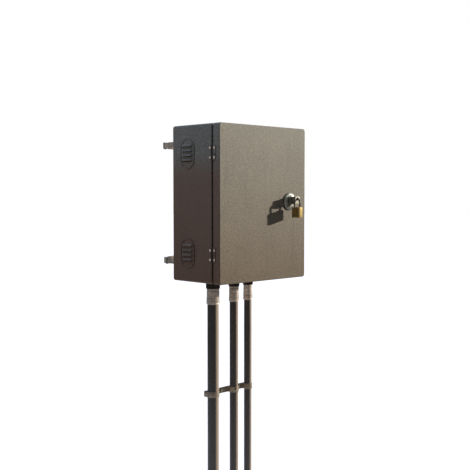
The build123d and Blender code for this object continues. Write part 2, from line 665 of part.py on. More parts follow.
def make_din_rail():
    """Top-hat rail: the crown lies on the panel and the two brims stand off it."""
    half_l, t = DIN_L / 2, DIN_T
    crown_z = (DIN_Z - DIN_CROWN, DIN_Z + DIN_CROWN)
    rail = block(-half_l, half_l, PANEL_FRONT_Y - t, PANEL_FRONT_Y, *crown_z)
    for s in (1, -1):
        wall = sorted((DIN_Z + s * DIN_CROWN, DIN_Z + s * (DIN_CROWN - t)))
        brim = sorted((DIN_Z + s * DIN_H / 2, DIN_Z + s * (DIN_CROWN - t)))
        rail += block(-half_l, half_l, DIN_FRONT_Y, PANEL_FRONT_Y, *wall)
        rail += block(-half_l, half_l, DIN_FRONT_Y, DIN_FRONT_Y + t, *brim)
    for x in din_screw_xs():
        rail -= rod_y(x, DIN_Z, DIN_SCREW_R + CLEAR, PANEL_FRONT_Y - t - OVER, PANEL_FRONT_Y + OVER)
    return rail


def din_screw_xs():
    return [s * (DIN_L / 2 - DIN_SCREW_INSET) for s in (1, -1)]


def make_din_screws():
    """Two low screws that hold the rail's crown down on the panel."""
    screws = []
    seat = PANEL_FRONT_Y - DIN_T
    for x in din_screw_xs():
        head = rod_y(x, DIN_Z, DIN_HEAD_R, seat - DIN_HEAD_H, seat)
        head = fillet(head.edges().sort_by(Axis.Y)[0], DIN_HEAD_ROUND)
        screws.append(head + rod_y(x, DIN_Z, DIN_SCREW_R, seat - DIN_HEAD_H / 2, PANEL_FRONT_Y))
    return group(screws)


def nose_y():
    """Front of a breaker's nose."""
    return DIN_FRONT_Y + DIN_GRIP - BREAKER_D - NOSE_D


def rail_recess(x0, x1, rear):
    """The slot across a moulding's back that takes the rail."""
    half = DIN_H / 2 + RAIL_PLAY
    return block(x0 - OVER, x1 + OVER, DIN_FRONT_Y - RAIL_PLAY, rear + OVER, DIN_Z - half, DIN_Z + half)


def wire_mouth(x, width, y_span, end_z, s):
    """Square wire entry in a moulding's top (s = 1) or bottom (s = -1)."""
    z_span = sorted((end_z + s * OVER, end_z - s * WIRE_MOUTH_D))
    return block(x - width / 2, x + width / 2, *y_span, *z_span)


def make_breaker(x_mid, poles):
    """A stepped moulding over the rail, with a round pocket for its lever."""
    half = poles * POLE_PITCH / 2 - CASE_PLAY
    x0, x1 = x_mid - half, x_mid + half
    rear = DIN_FRONT_Y + DIN_GRIP
    front = rear - BREAKER_D
    case = block(x0, x1, front, rear, DIN_Z - BREAKER_H / 2, DIN_Z + BREAKER_H / 2)
    nose = block(x0, x1, nose_y(), front + NOSE_ROUND, DIN_Z - NOSE_H / 2, DIN_Z + NOSE_H / 2)
    case += fillet(nose.edges().filter_by(Axis.X).group_by(Axis.Y)[0], NOSE_ROUND)
    case -= rail_recess(x0, x1, rear)
    lever_half = poles * POLE_PITCH / 2 - LEVER_INSET
    pocket_x = (x_mid - lever_half, x_mid + lever_half)
    case -= rod_x(nose_y() + LEVER_IN, DIN_Z, LEVER_R + LEVER_PLAY, *pocket_x)
    mouth_y = (front + WIRE_MOUTH_IN, front + WIRE_MOUTH_IN + WIRE_MOUTH_TALL)
    for i in range(poles):
        x = x_mid + (i - (poles - 1) / 2) * POLE_PITCH
        for s in (1, -1):
            well_z = DIN_Z + s * (BREAKER_H / 2 - SCREW_WELL_IN)
            case -= rod_y(x, well_z, SCREW_WELL_R, front - OVER, front + SCREW_WELL_D)
            case -= wire_mouth(x, WIRE_MOUTH_W, mouth_y, DIN_Z + s * BREAKER_H / 2, s)
    return case


def make_lever(x_mid, poles):
    """Round hub with a tapered grip, tipped up."""
    half = poles * POLE_PITCH / 2 - LEVER_INSET - LEVER_PLAY
    x_span = (x_mid - half, x_mid + half)
    y = nose_y() + LEVER_IN
    grip_z = (DIN_Z - GRIP_T / 2, DIN_Z + GRIP_T / 2)
    grip = block(*x_span, y - LEVER_R - LEVER_GRIP, y - LEVER_R / 2, *grip_z)
    grip = fillet(grip.edges().filter_by(Axis.X).group_by(Axis.Y)[0], GRIP_ROUND)
    lever = rod_x(y, DIN_Z, LEVER_R, *x_span) + grip
    return Pos(0, y, DIN_Z) * Rot(-LEVER_TILT, 0, 0) * Pos(0, -y, -DIN_Z) * lever


def make_terminals():
    """A row of one-wire terminals at the rail's right-hand end."""
    blocks = []
    first = DIN_L / 2 - TERMINAL_END - TERMINALS * TERMINAL_W
    rear = DIN_FRONT_Y + DIN_GRIP
    front = rear - TERMINAL_D
    half_h = TERMINAL_H / 2
    mouth_y = (front + TERMINAL_MOUTH_IN, front + TERMINAL_MOUTH_IN + TERMINAL_MOUTH_TALL)
    for i in range(TERMINALS):
        x0 = first + i * TERMINAL_W
        x1 = x0 + TERMINAL_W - 2 * CASE_PLAY
        case = block(x0, x1, front, rear, DIN_Z - half_h, DIN_Z + half_h)
        case -= rail_recess(x0, x1, rear)
        for s in (1, -1):
            well_z = DIN_Z + s * half_h / 2
            case -= rod_y((x0 + x1) / 2, well_z, TERMINAL_MOUTH_W / 2, front - OVER, front + SCREW_WELL_D)
            case -= wire_mouth((x0 + x1) / 2, TERMINAL_MOUTH_W, mouth_y, DIN_Z + s * half_h, s)
        blocks.append(case)
    return group(blocks)


def ground_screw_xs():
    first = -BAR_L / 2 + EARTH_END
    step = (BAR_L - 2 * EARTH_END) / (BAR_SCREWS - 1)
    return [first + i * step for i in range(BAR_SCREWS)]


def make_ground_bar():
    """Earth bar cast with two feet that stand it off the panel."""
    front = PANEL_FRONT_Y - EARTH_OFF
    z0, z1 = BAR_Z - EARTH_H / 2, BAR_Z + EARTH_H / 2
    xs = ground_screw_xs()
    bar = block(-BAR_L / 2, BAR_L / 2, front, front + EARTH_T, z0, z1)
    for x in ((xs[0] + xs[1]) / 2, (xs[-1] + xs[-2]) / 2):
        bar += block(x - FOOT_W / 2, x + FOOT_W / 2, front + EARTH_T - OVER, PANEL_FRONT_Y, z0, z1)
    for x in xs:
        bar -= rod_y(x, BAR_Z, EARTH_SCREW_R + CLEAR, front - OVER, front + EARTH_TAPPED)
        bar -= rod_z(x, front + EARTH_WIRE_IN, EARTH_WIRE_R, z0 - OVER, z1 + OVER)
    return bar


def make_ground_screws():
    """Slotted cheese-head screws along the earth bar."""
    front = PANEL_FRONT_Y - EARTH_OFF
    slot_y = (front - EARTH_HEAD_H - OVER, front - EARTH_HEAD_H + EARTH_SLOT_D)
    slot_z = (BAR_Z - EARTH_HEAD_R - OVER, BAR_Z + EARTH_HEAD_R + OVER)
    screws = []
    for x in ground_screw_xs():
        slot = block(x - EARTH_SLOT_W / 2, x + EARTH_SLOT_W / 2, *slot_y, *slot_z)
        head = rod_y(x, BAR_Z, EARTH_HEAD_R, front - EARTH_HEAD_H, front) - slot
        screws.append(head + rod_y(x, BAR_Z, EARTH_SCREW_R, front - EARTH_SLOT_D, front + EARTH_SCREW_IN))
    return group(screws)


# ---------------------------------------------------------------- conduits
def make_conduit(x, r):
    tube = Circle(r) - Circle(r - CONDUIT_WALL)
    return prism_z(Pos(x, conduit_y(r)) * tube, CONDUIT_END_Z, seat_z())


def seat_z():
    """Height at which a conduit's top end seats in its connector."""
    return FITTING_END_Z + GLAND_H + CONDUIT_SEAT


def throat_r(r):
    """Wire passage of a connector and its bushing: the conduit's cut end hides behind it."""
    return r - CONDUIT_WALL - THROAT_STEP


def make_connector(x, r):
    """Turned connector: flange under the box, ringed barrel, and a thread through the wall."""
    y = conduit_y(r)
    flange_z = BOTTOM_Z - ENTRY_SEAL_T
    gland_z = FITTING_END_Z + GLAND_H
    top_z = BOTTOM_Z + SHEET + NIPPLE_UP
    barrel_r = r + BARREL_WALL
    solid = rod_z(x, y, barrel_r, gland_z, flange_z)
    solid += prism_z(Pos(x, y) * Rot(0, 0, FLANGE_TURN) * hexagon(2 * r + FLANGE_AF_EXTRA),
                     flange_z - FLANGE_T, flange_z)
    groove = Circle(barrel_r + OVER) - Circle(barrel_r - BARREL_GROOVE_D)
    for up in BARREL_GROOVES_UP:
        solid -= prism_z(Pos(x, y) * groove, gland_z + up, gland_z + up + GROOVE_W)
    solid += rod_z(x, y, r + NIPPLE_EXTRA, flange_z, top_z)
    solid -= rod_z(x, y, r + CLEAR, gland_z - OVER, seat_z())
    return solid - rod_z(x, y, throat_r(r), seat_z() - OVER, top_z + OVER)


def make_gland_nut(x, r):
    """Nut round the conduit at the connector's lower end, with a groove near its top."""
    y = conduit_y(r)
    top_z = FITTING_END_Z + GLAND_H
    groove_z = FITTING_END_Z + GLAND_GROOVE_UP
    nut = rod_z(x, y, r + GLAND_WALL, FITTING_END_Z, top_z)
    nut = fillet(nut.edges().group_by(Axis.Z)[0], GLAND_ROUND)
    groove = Circle(r + GLAND_WALL + OVER) - Circle(r + GLAND_WALL - BARREL_GROOVE_D)
    nut -= prism_z(Pos(x, y) * groove, groove_z, groove_z + GROOVE_W)
    return nut - rod_z(x, y, r + CLEAR, FITTING_END_Z - OVER, top_z + OVER)


def make_entry_rings():
    """Rubber rings between the connectors and the box."""
    rings = []
    for _, x, r in CONDUITS:
        ring = Circle(r + RING_WALL) - Circle(r + NIPPLE_EXTRA + CLEAR)
        rings.append(prism_z(Pos(x, conduit_y(r)) * ring, BOTTOM_Z - ENTRY_SEAL_T, BOTTOM_Z))
    return group(rings)


def make_locknuts():
    """Lobed nuts on the connectors' threads, inside the box."""
    nuts = []
    z0 = BOTTOM_Z + SHEET
    for _, x, r in CONDUITS:
        outer = r + NIPPLE_EXTRA + LOCKNUT_WALL
        lobes = PolarLocations(outer - 0.1 * LOBE, LOCKNUT_LOBES) * Rectangle(LOBE, LOBE)
        ring = Circle(outer) + lobes - Circle(r + NIPPLE_EXTRA + CLEAR)
        nuts.append(prism_z(Pos(x, conduit_y(r)) * ring, z0, z0 + LOCKNUT_T))
    return group(nuts)


def make_bushings():
    """Plastic bushings over the threads' ends, where the wires come in."""
    caps = []
    z0 = BOTTOM_Z + SHEET + LOCKNUT_T + BUSHING_OFF_NUT
    z_top = BOTTOM_Z + SHEET + NIPPLE_UP
    for _, x, r in CONDUITS:
        y = conduit_y(r)
        cap = rod_z(x, y, r + NIPPLE_EXTRA + BUSHING_WALL, z0, z_top + BUSHING_CAP)
        cap = fillet(cap.edges().group_by(Axis.Z)[-1], BUSHING_ROUND)
        cap -= rod_z(x, y, r + NIPPLE_EXTRA + CLEAR, z0 - OVER, z_top)
        caps.append(cap - rod_z(x, y, throat_r(r), z_top - OVER, z_top + BUSHING_CAP + OVER))
    return group(caps)


def strap_bolt_xs():
    """One bolt midway between each two conduits."""
    pairs = zip(CONDUITS, CONDUITS[1:])
    return [(xa + ra + xb - rb) / 2 for (_, xa, ra), (_, xb, rb) in pairs]


def strap_hump(x, r, grow, past):
    """A conduit's round grown by a wall, run straight back past the strap's rear face."""
    y, rr = conduit_y(r), r + CLEAR + grow
    depth = STRAP_BACK_Y - y + past
    return Pos(x, y) * Circle(rr) + Pos(x, y + depth / 2) * Rectangle(2 * rr, depth)


def strap_hook(conduit, side):
    """One end of the strap, run back past the bar's end and folded in behind it."""
    _, x, r = conduit
    leg_x = x + side * (r + CLEAR)
    y0, y1 = conduit_y(r), STRAP_BACK_Y + STRAP_BAR_T + 2 * CLEAR + STRAP_T
    leg = Pos(leg_x + side * STRAP_T / 2, (y0 + y1) / 2) * Rectangle(STRAP_T, y1 - y0)
    fold = Rectangle(STRAP_T + STRAP_HOOK, STRAP_T)
    return leg + Pos(leg_x + side * (STRAP_T - STRAP_HOOK) / 2, y1 - STRAP_T / 2) * fold


def make_strap():
    """Strap pressed over each conduit, down to the bar between them and round the bar's ends."""
    x0, x1 = CONDUITS[0][1], CONDUITS[-1][1]
    sheet = Pos((x0 + x1) / 2, STRAP_BACK_Y - STRAP_T / 2) * Rectangle(x1 - x0, STRAP_T)
    inside = Sketch()
    for _, x, r in CONDUITS:
        sheet += strap_hump(x, r, STRAP_T, 0)
        inside += strap_hump(x, r, 0, OVER)
    ahead = Rectangle(2 * (x1 - x0), 4 * CONDUITS[0][2], align=(Align.CENTER, Align.MAX))
    sheet &= Pos((x0 + x1) / 2, STRAP_BACK_Y) * ahead
    sheet = sheet - inside + strap_hook(CONDUITS[0], -1) + strap_hook(CONDUITS[-1], 1)
    strap = prism_z(sheet, STRAP_Z - STRAP_W / 2, STRAP_Z + STRAP_W / 2)
    for x in strap_bolt_xs():
        hole_y = (STRAP_BACK_Y - STRAP_T - OVER, STRAP_BACK_Y + OVER)
        strap -= rod_y(x, STRAP_Z, STRAP_BOLT_R + CLEAR, *hole_y)
    return strap


def make_strap_bar():
    """Flat bar behind the conduits, between the strap's hooks."""
    left, right = CONDUITS[0], CONDUITS[-1]
    y0 = STRAP_BACK_Y + CLEAR
    y1 = y0 + STRAP_BAR_T
    strap_z = (STRAP_Z - STRAP_W / 2, STRAP_Z + STRAP_W / 2)
    bar = block(left[1] - left[2], right[1] + right[2], y0, y1, *strap_z)
    for x in strap_bolt_xs():
        bar -= rod_y(x, STRAP_Z, STRAP_BOLT_R + CLEAR, y0 - OVER, y1 + OVER)
    return bar


def make_strap_bolts():
    """Hex bolts through the strap and the bar, each with its nut run up behind."""
    bolts = []
    y_head = STRAP_BACK_Y - STRAP_T
    y_nut = STRAP_BACK_Y + CLEAR + STRAP_BAR_T
    for x in strap_bolt_xs():
        hexes = Pos(x, STRAP_Z) * hexagon(STRAP_BOLT_AF)
        bolt = prism_y(hexes, y_head - STRAP_HEAD_T, y_head)
        bolt += rod_y(x, STRAP_Z, STRAP_BOLT_R, y_head - STRAP_HEAD_T / 2, y_nut + STRAP_BOLT_OUT)
        bolts.append(bolt + prism_y(hexes, y_nut, y_nut + STRAP_NUT_T))
    return group(bolts)


# ---------------------------------------------------------------- pole mounting
def band_line_y():
    """Front face of the band where it passes behind a bracket's web."""
    return -(POLE_R + BRACKET_T + BAND_PLAY + BAND_T)


def make_bracket(z_mid):
    """Folded top-hat bracket: feet on the box, web against the pole, slots for the band."""
    leg_in = BRACKET_LEG_X - BRACKET_T
    upward = (Align.CENTER, Align.MIN)
    hat = Rectangle(2 * BRACKET_HALF, BRACKET_T, align=upward)
    hat += Rectangle(2 * BRACKET_LEG_X, BRACKET_D, align=upward)
    hat -= Pos(0, -OVER) * Rectangle(2 * leg_in, BRACKET_D - BRACKET_T + OVER, align=upward)
    bracket = prism_z(Pos(0, BACK_Y) * hat, z_mid - BRACKET_H / 2, z_mid + BRACKET_H / 2)
    ends = bracket.edges().filter_by(Axis.Y).group_by(Axis.X)
    bracket = fillet(ends[0] + ends[-1], BRACKET_CORNER_R)
    slot_half = BAND_W / 2 + SLOT_PLAY
    slot_y = (band_line_y() - SLOT_PLAY + BAND_PLAY * 1.5, -POLE_R - BRACKET_T / 2)
    for s in (1, -1):
        wall = sorted((s * (leg_in - OVER), s * (BRACKET_LEG_X + OVER)))
        bracket -= block(*wall, *slot_y, z_mid - slot_half, z_mid + slot_half)
        bracket -= rod_y(s * BOLT_X, z_mid, BOLT_R + CLEAR, BACK_Y - OVER, BACK_Y + BRACKET_T + OVER)
    return bracket


def band_outline(grow):
    """The pole's circle drawn out to the straight run behind the bracket's web."""
    r = POLE_R + grow
    px = BRACKET_LEG_X + BAND_CORNER_OUT + grow
    py = band_line_y() + BAND_T - grow
    turn = atan2(py, px)
    lean = acos(r / hypot(px, py))
    tx, ty = r * cos(turn + lean), r * sin(turn + lean)
    loop = Polyline((-tx, ty), (-px, py), (px, py), (tx, ty))
    return make_face([*loop.edges(), ThreePointArc((tx, ty), (0, r), (-tx, ty))])


def make_band(z_mid):
    loop = band_outline(BAND_T) - band_outline(0)
    return prism_z(loop, z_mid - BAND_W / 2, z_mid + BAND_W / 2)


def make_buckle(z_mid, at):
    """Folded clip on the band: two ears bent over the band's doubled tail."""
    inner = POLE_R + BAND_T
    half_l, half_h = BUCKLE_L / 2, BUCKLE_TALL / 2
    through_y = (-half_l - OVER, half_l + OVER)
    slit_x = inner + BUCKLE_WALL
    clip = block(inner - BUCKLE_WALL, inner + BUCKLE_H, -half_l, half_l, z_mid - half_h, z_mid + half_h)
    clip = fillet(clip.edges().filter_by(Axis.Y).group_by(Axis.X)[-1], BUCKLE_ROUND)
    clip = fillet(clip.edges().filter_by(Axis.X), BUCKLE_CORNER_R)
    slit_z = (z_mid - BUCKLE_SLIT / 2, z_mid + BUCKLE_SLIT / 2)
    clip -= block(slit_x, inner + BUCKLE_H + OVER, *through_y, *slit_z)
    tail_half = BAND_W / 2 + BUCKLE_PLAY
    clip -= block(slit_x, slit_x + 2 * BAND_T, *through_y, z_mid - tail_half, z_mid + tail_half)
    clip -= rod_z(0, 0, inner + CLEAR, z_mid - half_h - OVER, z_mid + half_h + OVER)
    return Rot(0, 0, at) * clip


def make_bracket_bolts():
    """Heads inside the box, shanks out through wall and bracket foot."""
    bolts = []
    head_y = (BACK_IN_Y - WASHER_T - BOLT_HEAD_T, BACK_IN_Y - WASHER_T)
    for x, z in bolt_places():
        head = prism_y(Pos(x, z) * hexagon(BOLT_AF), *head_y)
        washer = rod_y(x, z, WASHER_R, BACK_IN_Y - WASHER_T - CLEAR, BACK_IN_Y)
        shank = rod_y(x, z, BOLT_R, BACK_IN_Y - WASHER_T, BACK_Y + BRACKET_T + BOLT_OUT)
        bolts.append(head + washer + shank)
    return group(bolts)


def make_bracket_nuts():
    """Nuts and washers behind the bracket's feet."""
    y0 = BACK_Y + BRACKET_T
    nut_y = (y0 + WASHER_T - CLEAR, y0 + WASHER_T - CLEAR + BOLT_NUT_T)
    hole = Circle(BOLT_R + CLEAR)
    nuts = []
    for x, z in bolt_places():
        at = Pos(x, z)
        washer = prism_y(at * (Circle(WASHER_R) - hole), y0, y0 + WASHER_T)
        nuts.append(washer + prism_y(at * (hexagon(BOLT_AF) - hole), *nut_y))
    return group(nuts)


# ---------------------------------------------------------------- write every node
def main():
    os.makedirs("parts", exist_ok=True)
    save(make_body(), "body")
    save(make_door(), "door")
    save(make_gasket(), "door_gasket")
    for name, s in (("upper", 1), ("lower", -1)):
        save(make_leaf(s * HINGE_Z, 1), f"hinge_{name}_body_leaf")
        save(make_leaf(s * HINGE_Z, -1), f"hinge_{name}_door_leaf")
        save(make_vent(s * VENT_Z), f"vent_{name}")
        save(make_bracket(s * BAND_Z), f"pole_bracket_{name}")
        save(make_band(s * BAND_Z), f"pole_band_{name}")
        save(make_buckle(s * BAND_Z, BUCKLE_AT[name]), f"band_buckle_{name}")
    save(make_hinge_pins(), "hinge_pins")
    save(make_rivets(1), "hinge_rivets_body")
    save(make_rivets(-1), "hinge_rivets_door")
    save(make_latch_base(), "latch_base")
    save(make_latch_seal(), "latch_seal")
    save(make_latch_nut(), "latch_nut")
    save(make_latch_handle(), "latch_handle")
    save(make_latch_cam(), "latch_cam")
    save(make_cam_screw(), "latch_cam_screw")
    save(make_shackle(), "padlock_shackle")
    save(make_lock_body(), "padlock_body")
    save(make_lock_plug(), "padlock_plug")
    save(make_panel(), "back_panel")
    save(make_panel_studs(), "panel_studs")
    save(make_panel_nuts(), "panel_nuts")
    save(make_din_rail(), "din_rail")
    save(make_din_screws(), "din_rail_screws")
    for name, x, poles in BREAKERS:
        save(make_breaker(x, poles), f"breaker_{name}")
        save(make_lever(x, poles), f"breaker_{name}_lever")
    save(make_terminals(), "terminal_blocks")
    save(make_ground_bar(), "ground_bar")
    save(make_ground_screws(), "ground_bar_screws")
    for name, x, r in CONDUITS:
        save(make_conduit(x, r), f"conduit_{name}")
        save(make_connector(x, r), f"connector_{name}")
        save(make_gland_nut(x, r), f"gland_nut_{name}")
    save(make_entry_rings(), "entry_rings")
    save(make_locknuts(), "locknuts")
    save(make_bushings(), "bushings")
    save(make_strap(), "conduit_strap")
    save(make_strap_bar(), "conduit_strap_bar")
    save(make_strap_bolts(), "conduit_strap_bolts")
    save(make_bracket_bolts(), "bracket_bolts")
    save(make_bracket_nuts(), "bracket_nuts")


main()
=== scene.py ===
"""Looks of a pole-mounted electrical enclosure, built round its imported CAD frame.

The frame gives every place: +Z runs up the pole, the door faces -Y, and the origin lies on the
pole's axis, level with the middle of the box. Shapes are worked out in millimetres and written
to their meshes in metres.
"""
import logging
import math
from collections.abc import Callable, Iterator, Sequence
from contextlib import contextmanager
from dataclasses import dataclass
from enum import Enum

import bmesh
import bpy
import numpy as np
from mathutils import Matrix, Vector


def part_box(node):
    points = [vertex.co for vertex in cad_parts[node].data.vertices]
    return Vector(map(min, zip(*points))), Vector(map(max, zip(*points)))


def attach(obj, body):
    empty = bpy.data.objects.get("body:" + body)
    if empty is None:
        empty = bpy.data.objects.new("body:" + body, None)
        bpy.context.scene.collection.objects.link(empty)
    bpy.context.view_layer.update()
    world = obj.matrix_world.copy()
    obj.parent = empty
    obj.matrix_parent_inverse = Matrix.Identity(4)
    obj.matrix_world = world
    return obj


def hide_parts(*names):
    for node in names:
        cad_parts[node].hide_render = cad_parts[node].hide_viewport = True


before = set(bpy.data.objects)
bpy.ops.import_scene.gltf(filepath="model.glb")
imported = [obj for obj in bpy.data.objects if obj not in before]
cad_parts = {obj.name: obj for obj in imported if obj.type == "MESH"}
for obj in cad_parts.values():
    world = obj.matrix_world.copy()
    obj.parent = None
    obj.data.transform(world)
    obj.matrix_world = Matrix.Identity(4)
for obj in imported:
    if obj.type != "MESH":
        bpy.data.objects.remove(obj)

LOG = logging.getLogger("enclosure")
MM = 0.001
TURN = 2 * np.pi
SIXTH = np.pi / 3
CREASE = 32.0                  # edges sharper than this many degrees stay crisp
NOISE = (0.3, 0.7)             # where nearly all of a noise's values lie
LEVELS = ("upper", "lower")
Array = np.ndarray
Point = Sequence[float]
Ripple = Callable[[Array, Array, Array], Array]
Node = bpy.types.Node
Socket = bpy.types.NodeSocket


# ---------------- numbers and places
def linear(code: str) -> tuple[float, ...]:
    """Linear RGBA of an sRGB hex: c / 12.92 up to 0.04045, ((c + 0.055) / 1.055)^2.4 above."""
    srgb = [int(code[i:i + 2], 16) / 255 for i in (1, 3, 5)]
    return (*(c / 12.92 if c <= 0.04045 else ((c + 0.055) / 1.055) ** 2.4 for c in srgb), 1.0)


def per(size: float) -> float:
    """Scale of a texture in metres whose features are about this many millimetres."""
    return 1 / (size * MM)


def span(node: str) -> tuple[Array, Array]:
    """Lowest and highest corner of a CAD node, in millimetres."""
    low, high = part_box(node)
    return np.array(low) / MM, np.array(high) / MM


def middle(node: str) -> Array:
    """Middle of a CAD node's box, in millimetres."""
    low, high = span(node)
    return (low + high) / 2


def heights(node: str) -> tuple[float, float]:
    """Foot and top of a CAD node, in millimetres."""
    return tuple(end[2] for end in span(node))


def over_corners(across: float) -> float:
    """Radius of a hexagon's corners, from its width across the flats."""
    return across / 2 / math.cos(SIXTH / 2)


class Facing(Enum):
    """Which way a turned piece's own axis points; the rows are its local x, y and z."""

    UP = ((1, 0, 0), (0, 1, 0), (0, 0, 1))
    DOWN = ((1, 0, 0), (0, -1, 0), (0, 0, -1))
    FRONT = ((1, 0, 0), (0, 0, 1), (0, -1, 0))
    BACK = ((1, 0, 0), (0, 0, -1), (0, 1, 0))
    LEFT = ((0, 0, 1), (0, 1, 0), (-1, 0, 0))

    def place(self, local: Array, origin: Point) -> Array:
        """Carry points from the piece's own axes to the frame."""
        return local @ np.array(self.value, float) + np.asarray(origin, float)


# ---------------- surfaces
@dataclass(frozen=True)
class Grid:
    """A surface as rows and columns of points, joined up where it closes on itself."""

    points: Array
    wrap_rows: bool = False
    wrap_columns: bool = False

    def quads(self, first: int) -> Array:
        """Number the corners of every cell.

        Args:
            first: number of the grid's first point.

        Returns:
            Four numbers for each cell.
        """
        rows, columns = self.points.shape[:2]
        i = np.arange(rows if self.wrap_rows else rows - 1)[:, None]
        j = np.arange(columns if self.wrap_columns else columns - 1)
        here, below, beside = i * columns, (i + 1) % rows * columns, (j + 1) % columns
        cell = [here + j, here + beside, below + beside, below + j]
        return first + np.stack(cell, -1).reshape(-1, 4)


def arc(cx: float, cy: float, r: float, start: float, end: float, steps: int) -> Array:
    """Points (x, y) on a circle from one angle to another, in degrees."""
    t = np.radians(np.linspace(start, end, steps))
    return np.stack([cx + r * np.cos(t), cy + r * np.sin(t)], -1)


def soften(corners: Sequence[Point], radius: float, steps: int = 4, closed: bool = False) -> Array:
    """Round the corners of an outline.

    Each corner P becomes the parabola (1-t)^2 A + 2t(1-t) P + t^2 B, where A and B lie on the
    two sides at the radius from P, or at 0.45 of a side that is shorter.

    Args:
        corners: the outline's corners.
        radius: how far from a corner the rounding starts.
        steps: points that each corner becomes.
        closed: whether the last corner is joined to the first.

    Returns:
        The rounded outline, one point a row.
    """
    p = np.array(corners, float)
    ends = []
    for step in (1, -1):
        side = np.roll(p, step, 0) - p
        length = np.linalg.norm(side, axis=1, keepdims=True)
        end = p + side / np.maximum(length, 1e-9) * np.minimum(radius, 0.45 * length)
        ends.append(end[:, None])
    t = np.linspace(0, 1, steps)[None, :, None]
    curve = (1 - t) ** 2 * ends[0] + 2 * t * (1 - t) * p[:, None] + t ** 2 * ends[1]
    if closed:
        return curve.reshape(-1, 2)
    return stack(p[0], curve[1:-1].reshape(-1, 2), p[-1])


def turned(facing: Facing, origin: Point, profile: Array, around: int = 48,
           ripple: Ripple | None = None, closed: bool = False) -> Grid:
    """Turn a profile about an axis.

    A point at angle a and profile row (r, h) is (r cos a, r sin a, h); ripple changes r there.

    Args:
        facing: the way the axis points.
        origin: the point on the axis where h is nought.
        profile: rows of radius and height.
        around: points in a full turn.
        ripple: gives the radius from (radius, height, angle), for hexagons, knurls and threads.
        closed: whether the profile's last row is joined to its first, as in a ring.

    Returns:
        The turned surface.
    """
    angle = np.linspace(0, TURN, around, endpoint=False) + 0 * profile[:, :1]
    r, h = profile[:, :1] + 0 * angle, profile[:, 1:] + 0 * angle
    if ripple:
        r = ripple(r, h, angle)
    local = np.stack([r * np.cos(angle), r * np.sin(angle), h], -1)
    return Grid(facing.place(local, origin), wrap_rows=closed, wrap_columns=True)


def carried(path: Array, section: Array, across: Point, loop: bool = False,
            girth: Array | float = 1.0) -> Grid:
    """Carry a closed section along a path that lies in one plane.

    A point (a, b) of the section lies at P + a N + b W, where P is the path's point, W is the
    plane's normal and N is W x T for the tangent T. An open path ends in flat caps.

    Args:
        path: points (x, y, z) along the middle of the strip.
        section: outline of (along N, along W).
        across: the direction W.
        loop: whether the path closes on itself.
        girth: scale of the section at each point of the path.

    Returns:
        The swept surface, with its caps drawn to the path's ends.
    """
    w = np.asarray(across, float)
    tangent = np.roll(path, -1, 0) - np.roll(path, 1, 0) if loop else np.gradient(path, axis=0)
    normal = np.cross(w, tangent)
    normal /= np.linalg.norm(normal, axis=1, keepdims=True)
    ab = section[None] * girth
    rows = path[:, None] + ab[..., :1] * normal[:, None] + ab[..., 1:] * w
    if not loop:
        start, end = (np.repeat(path[k][None, None], len(section), 1) for k in (0, -1))
        rows = np.concatenate([start, rows, end])
    return Grid(rows, wrap_rows=loop, wrap_columns=True)


def strip_section(thick: float, wide: float, edge: float) -> Array:
    """Section of flat strip with rounded edges."""
    a, b = thick / 2, wide / 2
    return soften([(-a, -b), (a, -b), (a, b), (-a, b)], edge, closed=True)


def hexagon(across: float, turn: float = 0.0) -> Ripple:
    """Cut a turned blank to a hexagon: the radius is the smaller of its own and the flats'.

    The flats' radius at angle a is half the width across them over cos(a'), where a' is the
    angle from the middle of the nearest flat.

    Args:
        across: width across the flats.
        turn: angle of a flat's middle, in degrees.

    Returns:
        The cut, for `turned`.
    """
    def cut(r: Array, _h: Array, a: Array) -> Array:
        """Stop the radius at the nearest flat."""
        off = (a - math.radians(turn) + SIXTH / 2) % SIXTH - SIXTH / 2
        return np.minimum(r, across / 2 / np.cos(off))
    return cut


def thread(core: float, crest: float, pitch: float, h0: float, h1: float) -> Ripple:
    """Cut a helical thread.

    The radius is core plus a triangle wave of h / pitch - a / turn, up to the crest.

    Args:
        core: radius at the thread's root.
        crest: radius at its top.
        pitch: height of one turn.
        h0: where the thread starts.
        h1: where it ends.

    Returns:
        The cut, for `turned`.
    """
    def cut(r: Array, h: Array, a: Array) -> Array:
        """Flatten the wave's roots and crests, and keep it between the two heights."""
        tooth = np.clip(1.2 - 2.8 * np.abs((h / pitch - a / TURN) % 1 - 0.5), 0, 1)
        return np.where((h > h0) & (h < h1) & (r > core - 0.01), core + (crest - core) * tooth, r)
    return cut


def stack(*rows: Array | Point) -> Array:
    """Join stretches of profile end to end."""
    return np.concatenate([np.atleast_2d(np.array(r, float)) for r in rows])


def upright(r: float, h0: float, h1: float, steps: int) -> Array:
    """A straight stretch of profile with enough rows to carry a pattern."""
    return np.stack([np.full(steps, r), np.linspace(h0, h1, steps)], -1)


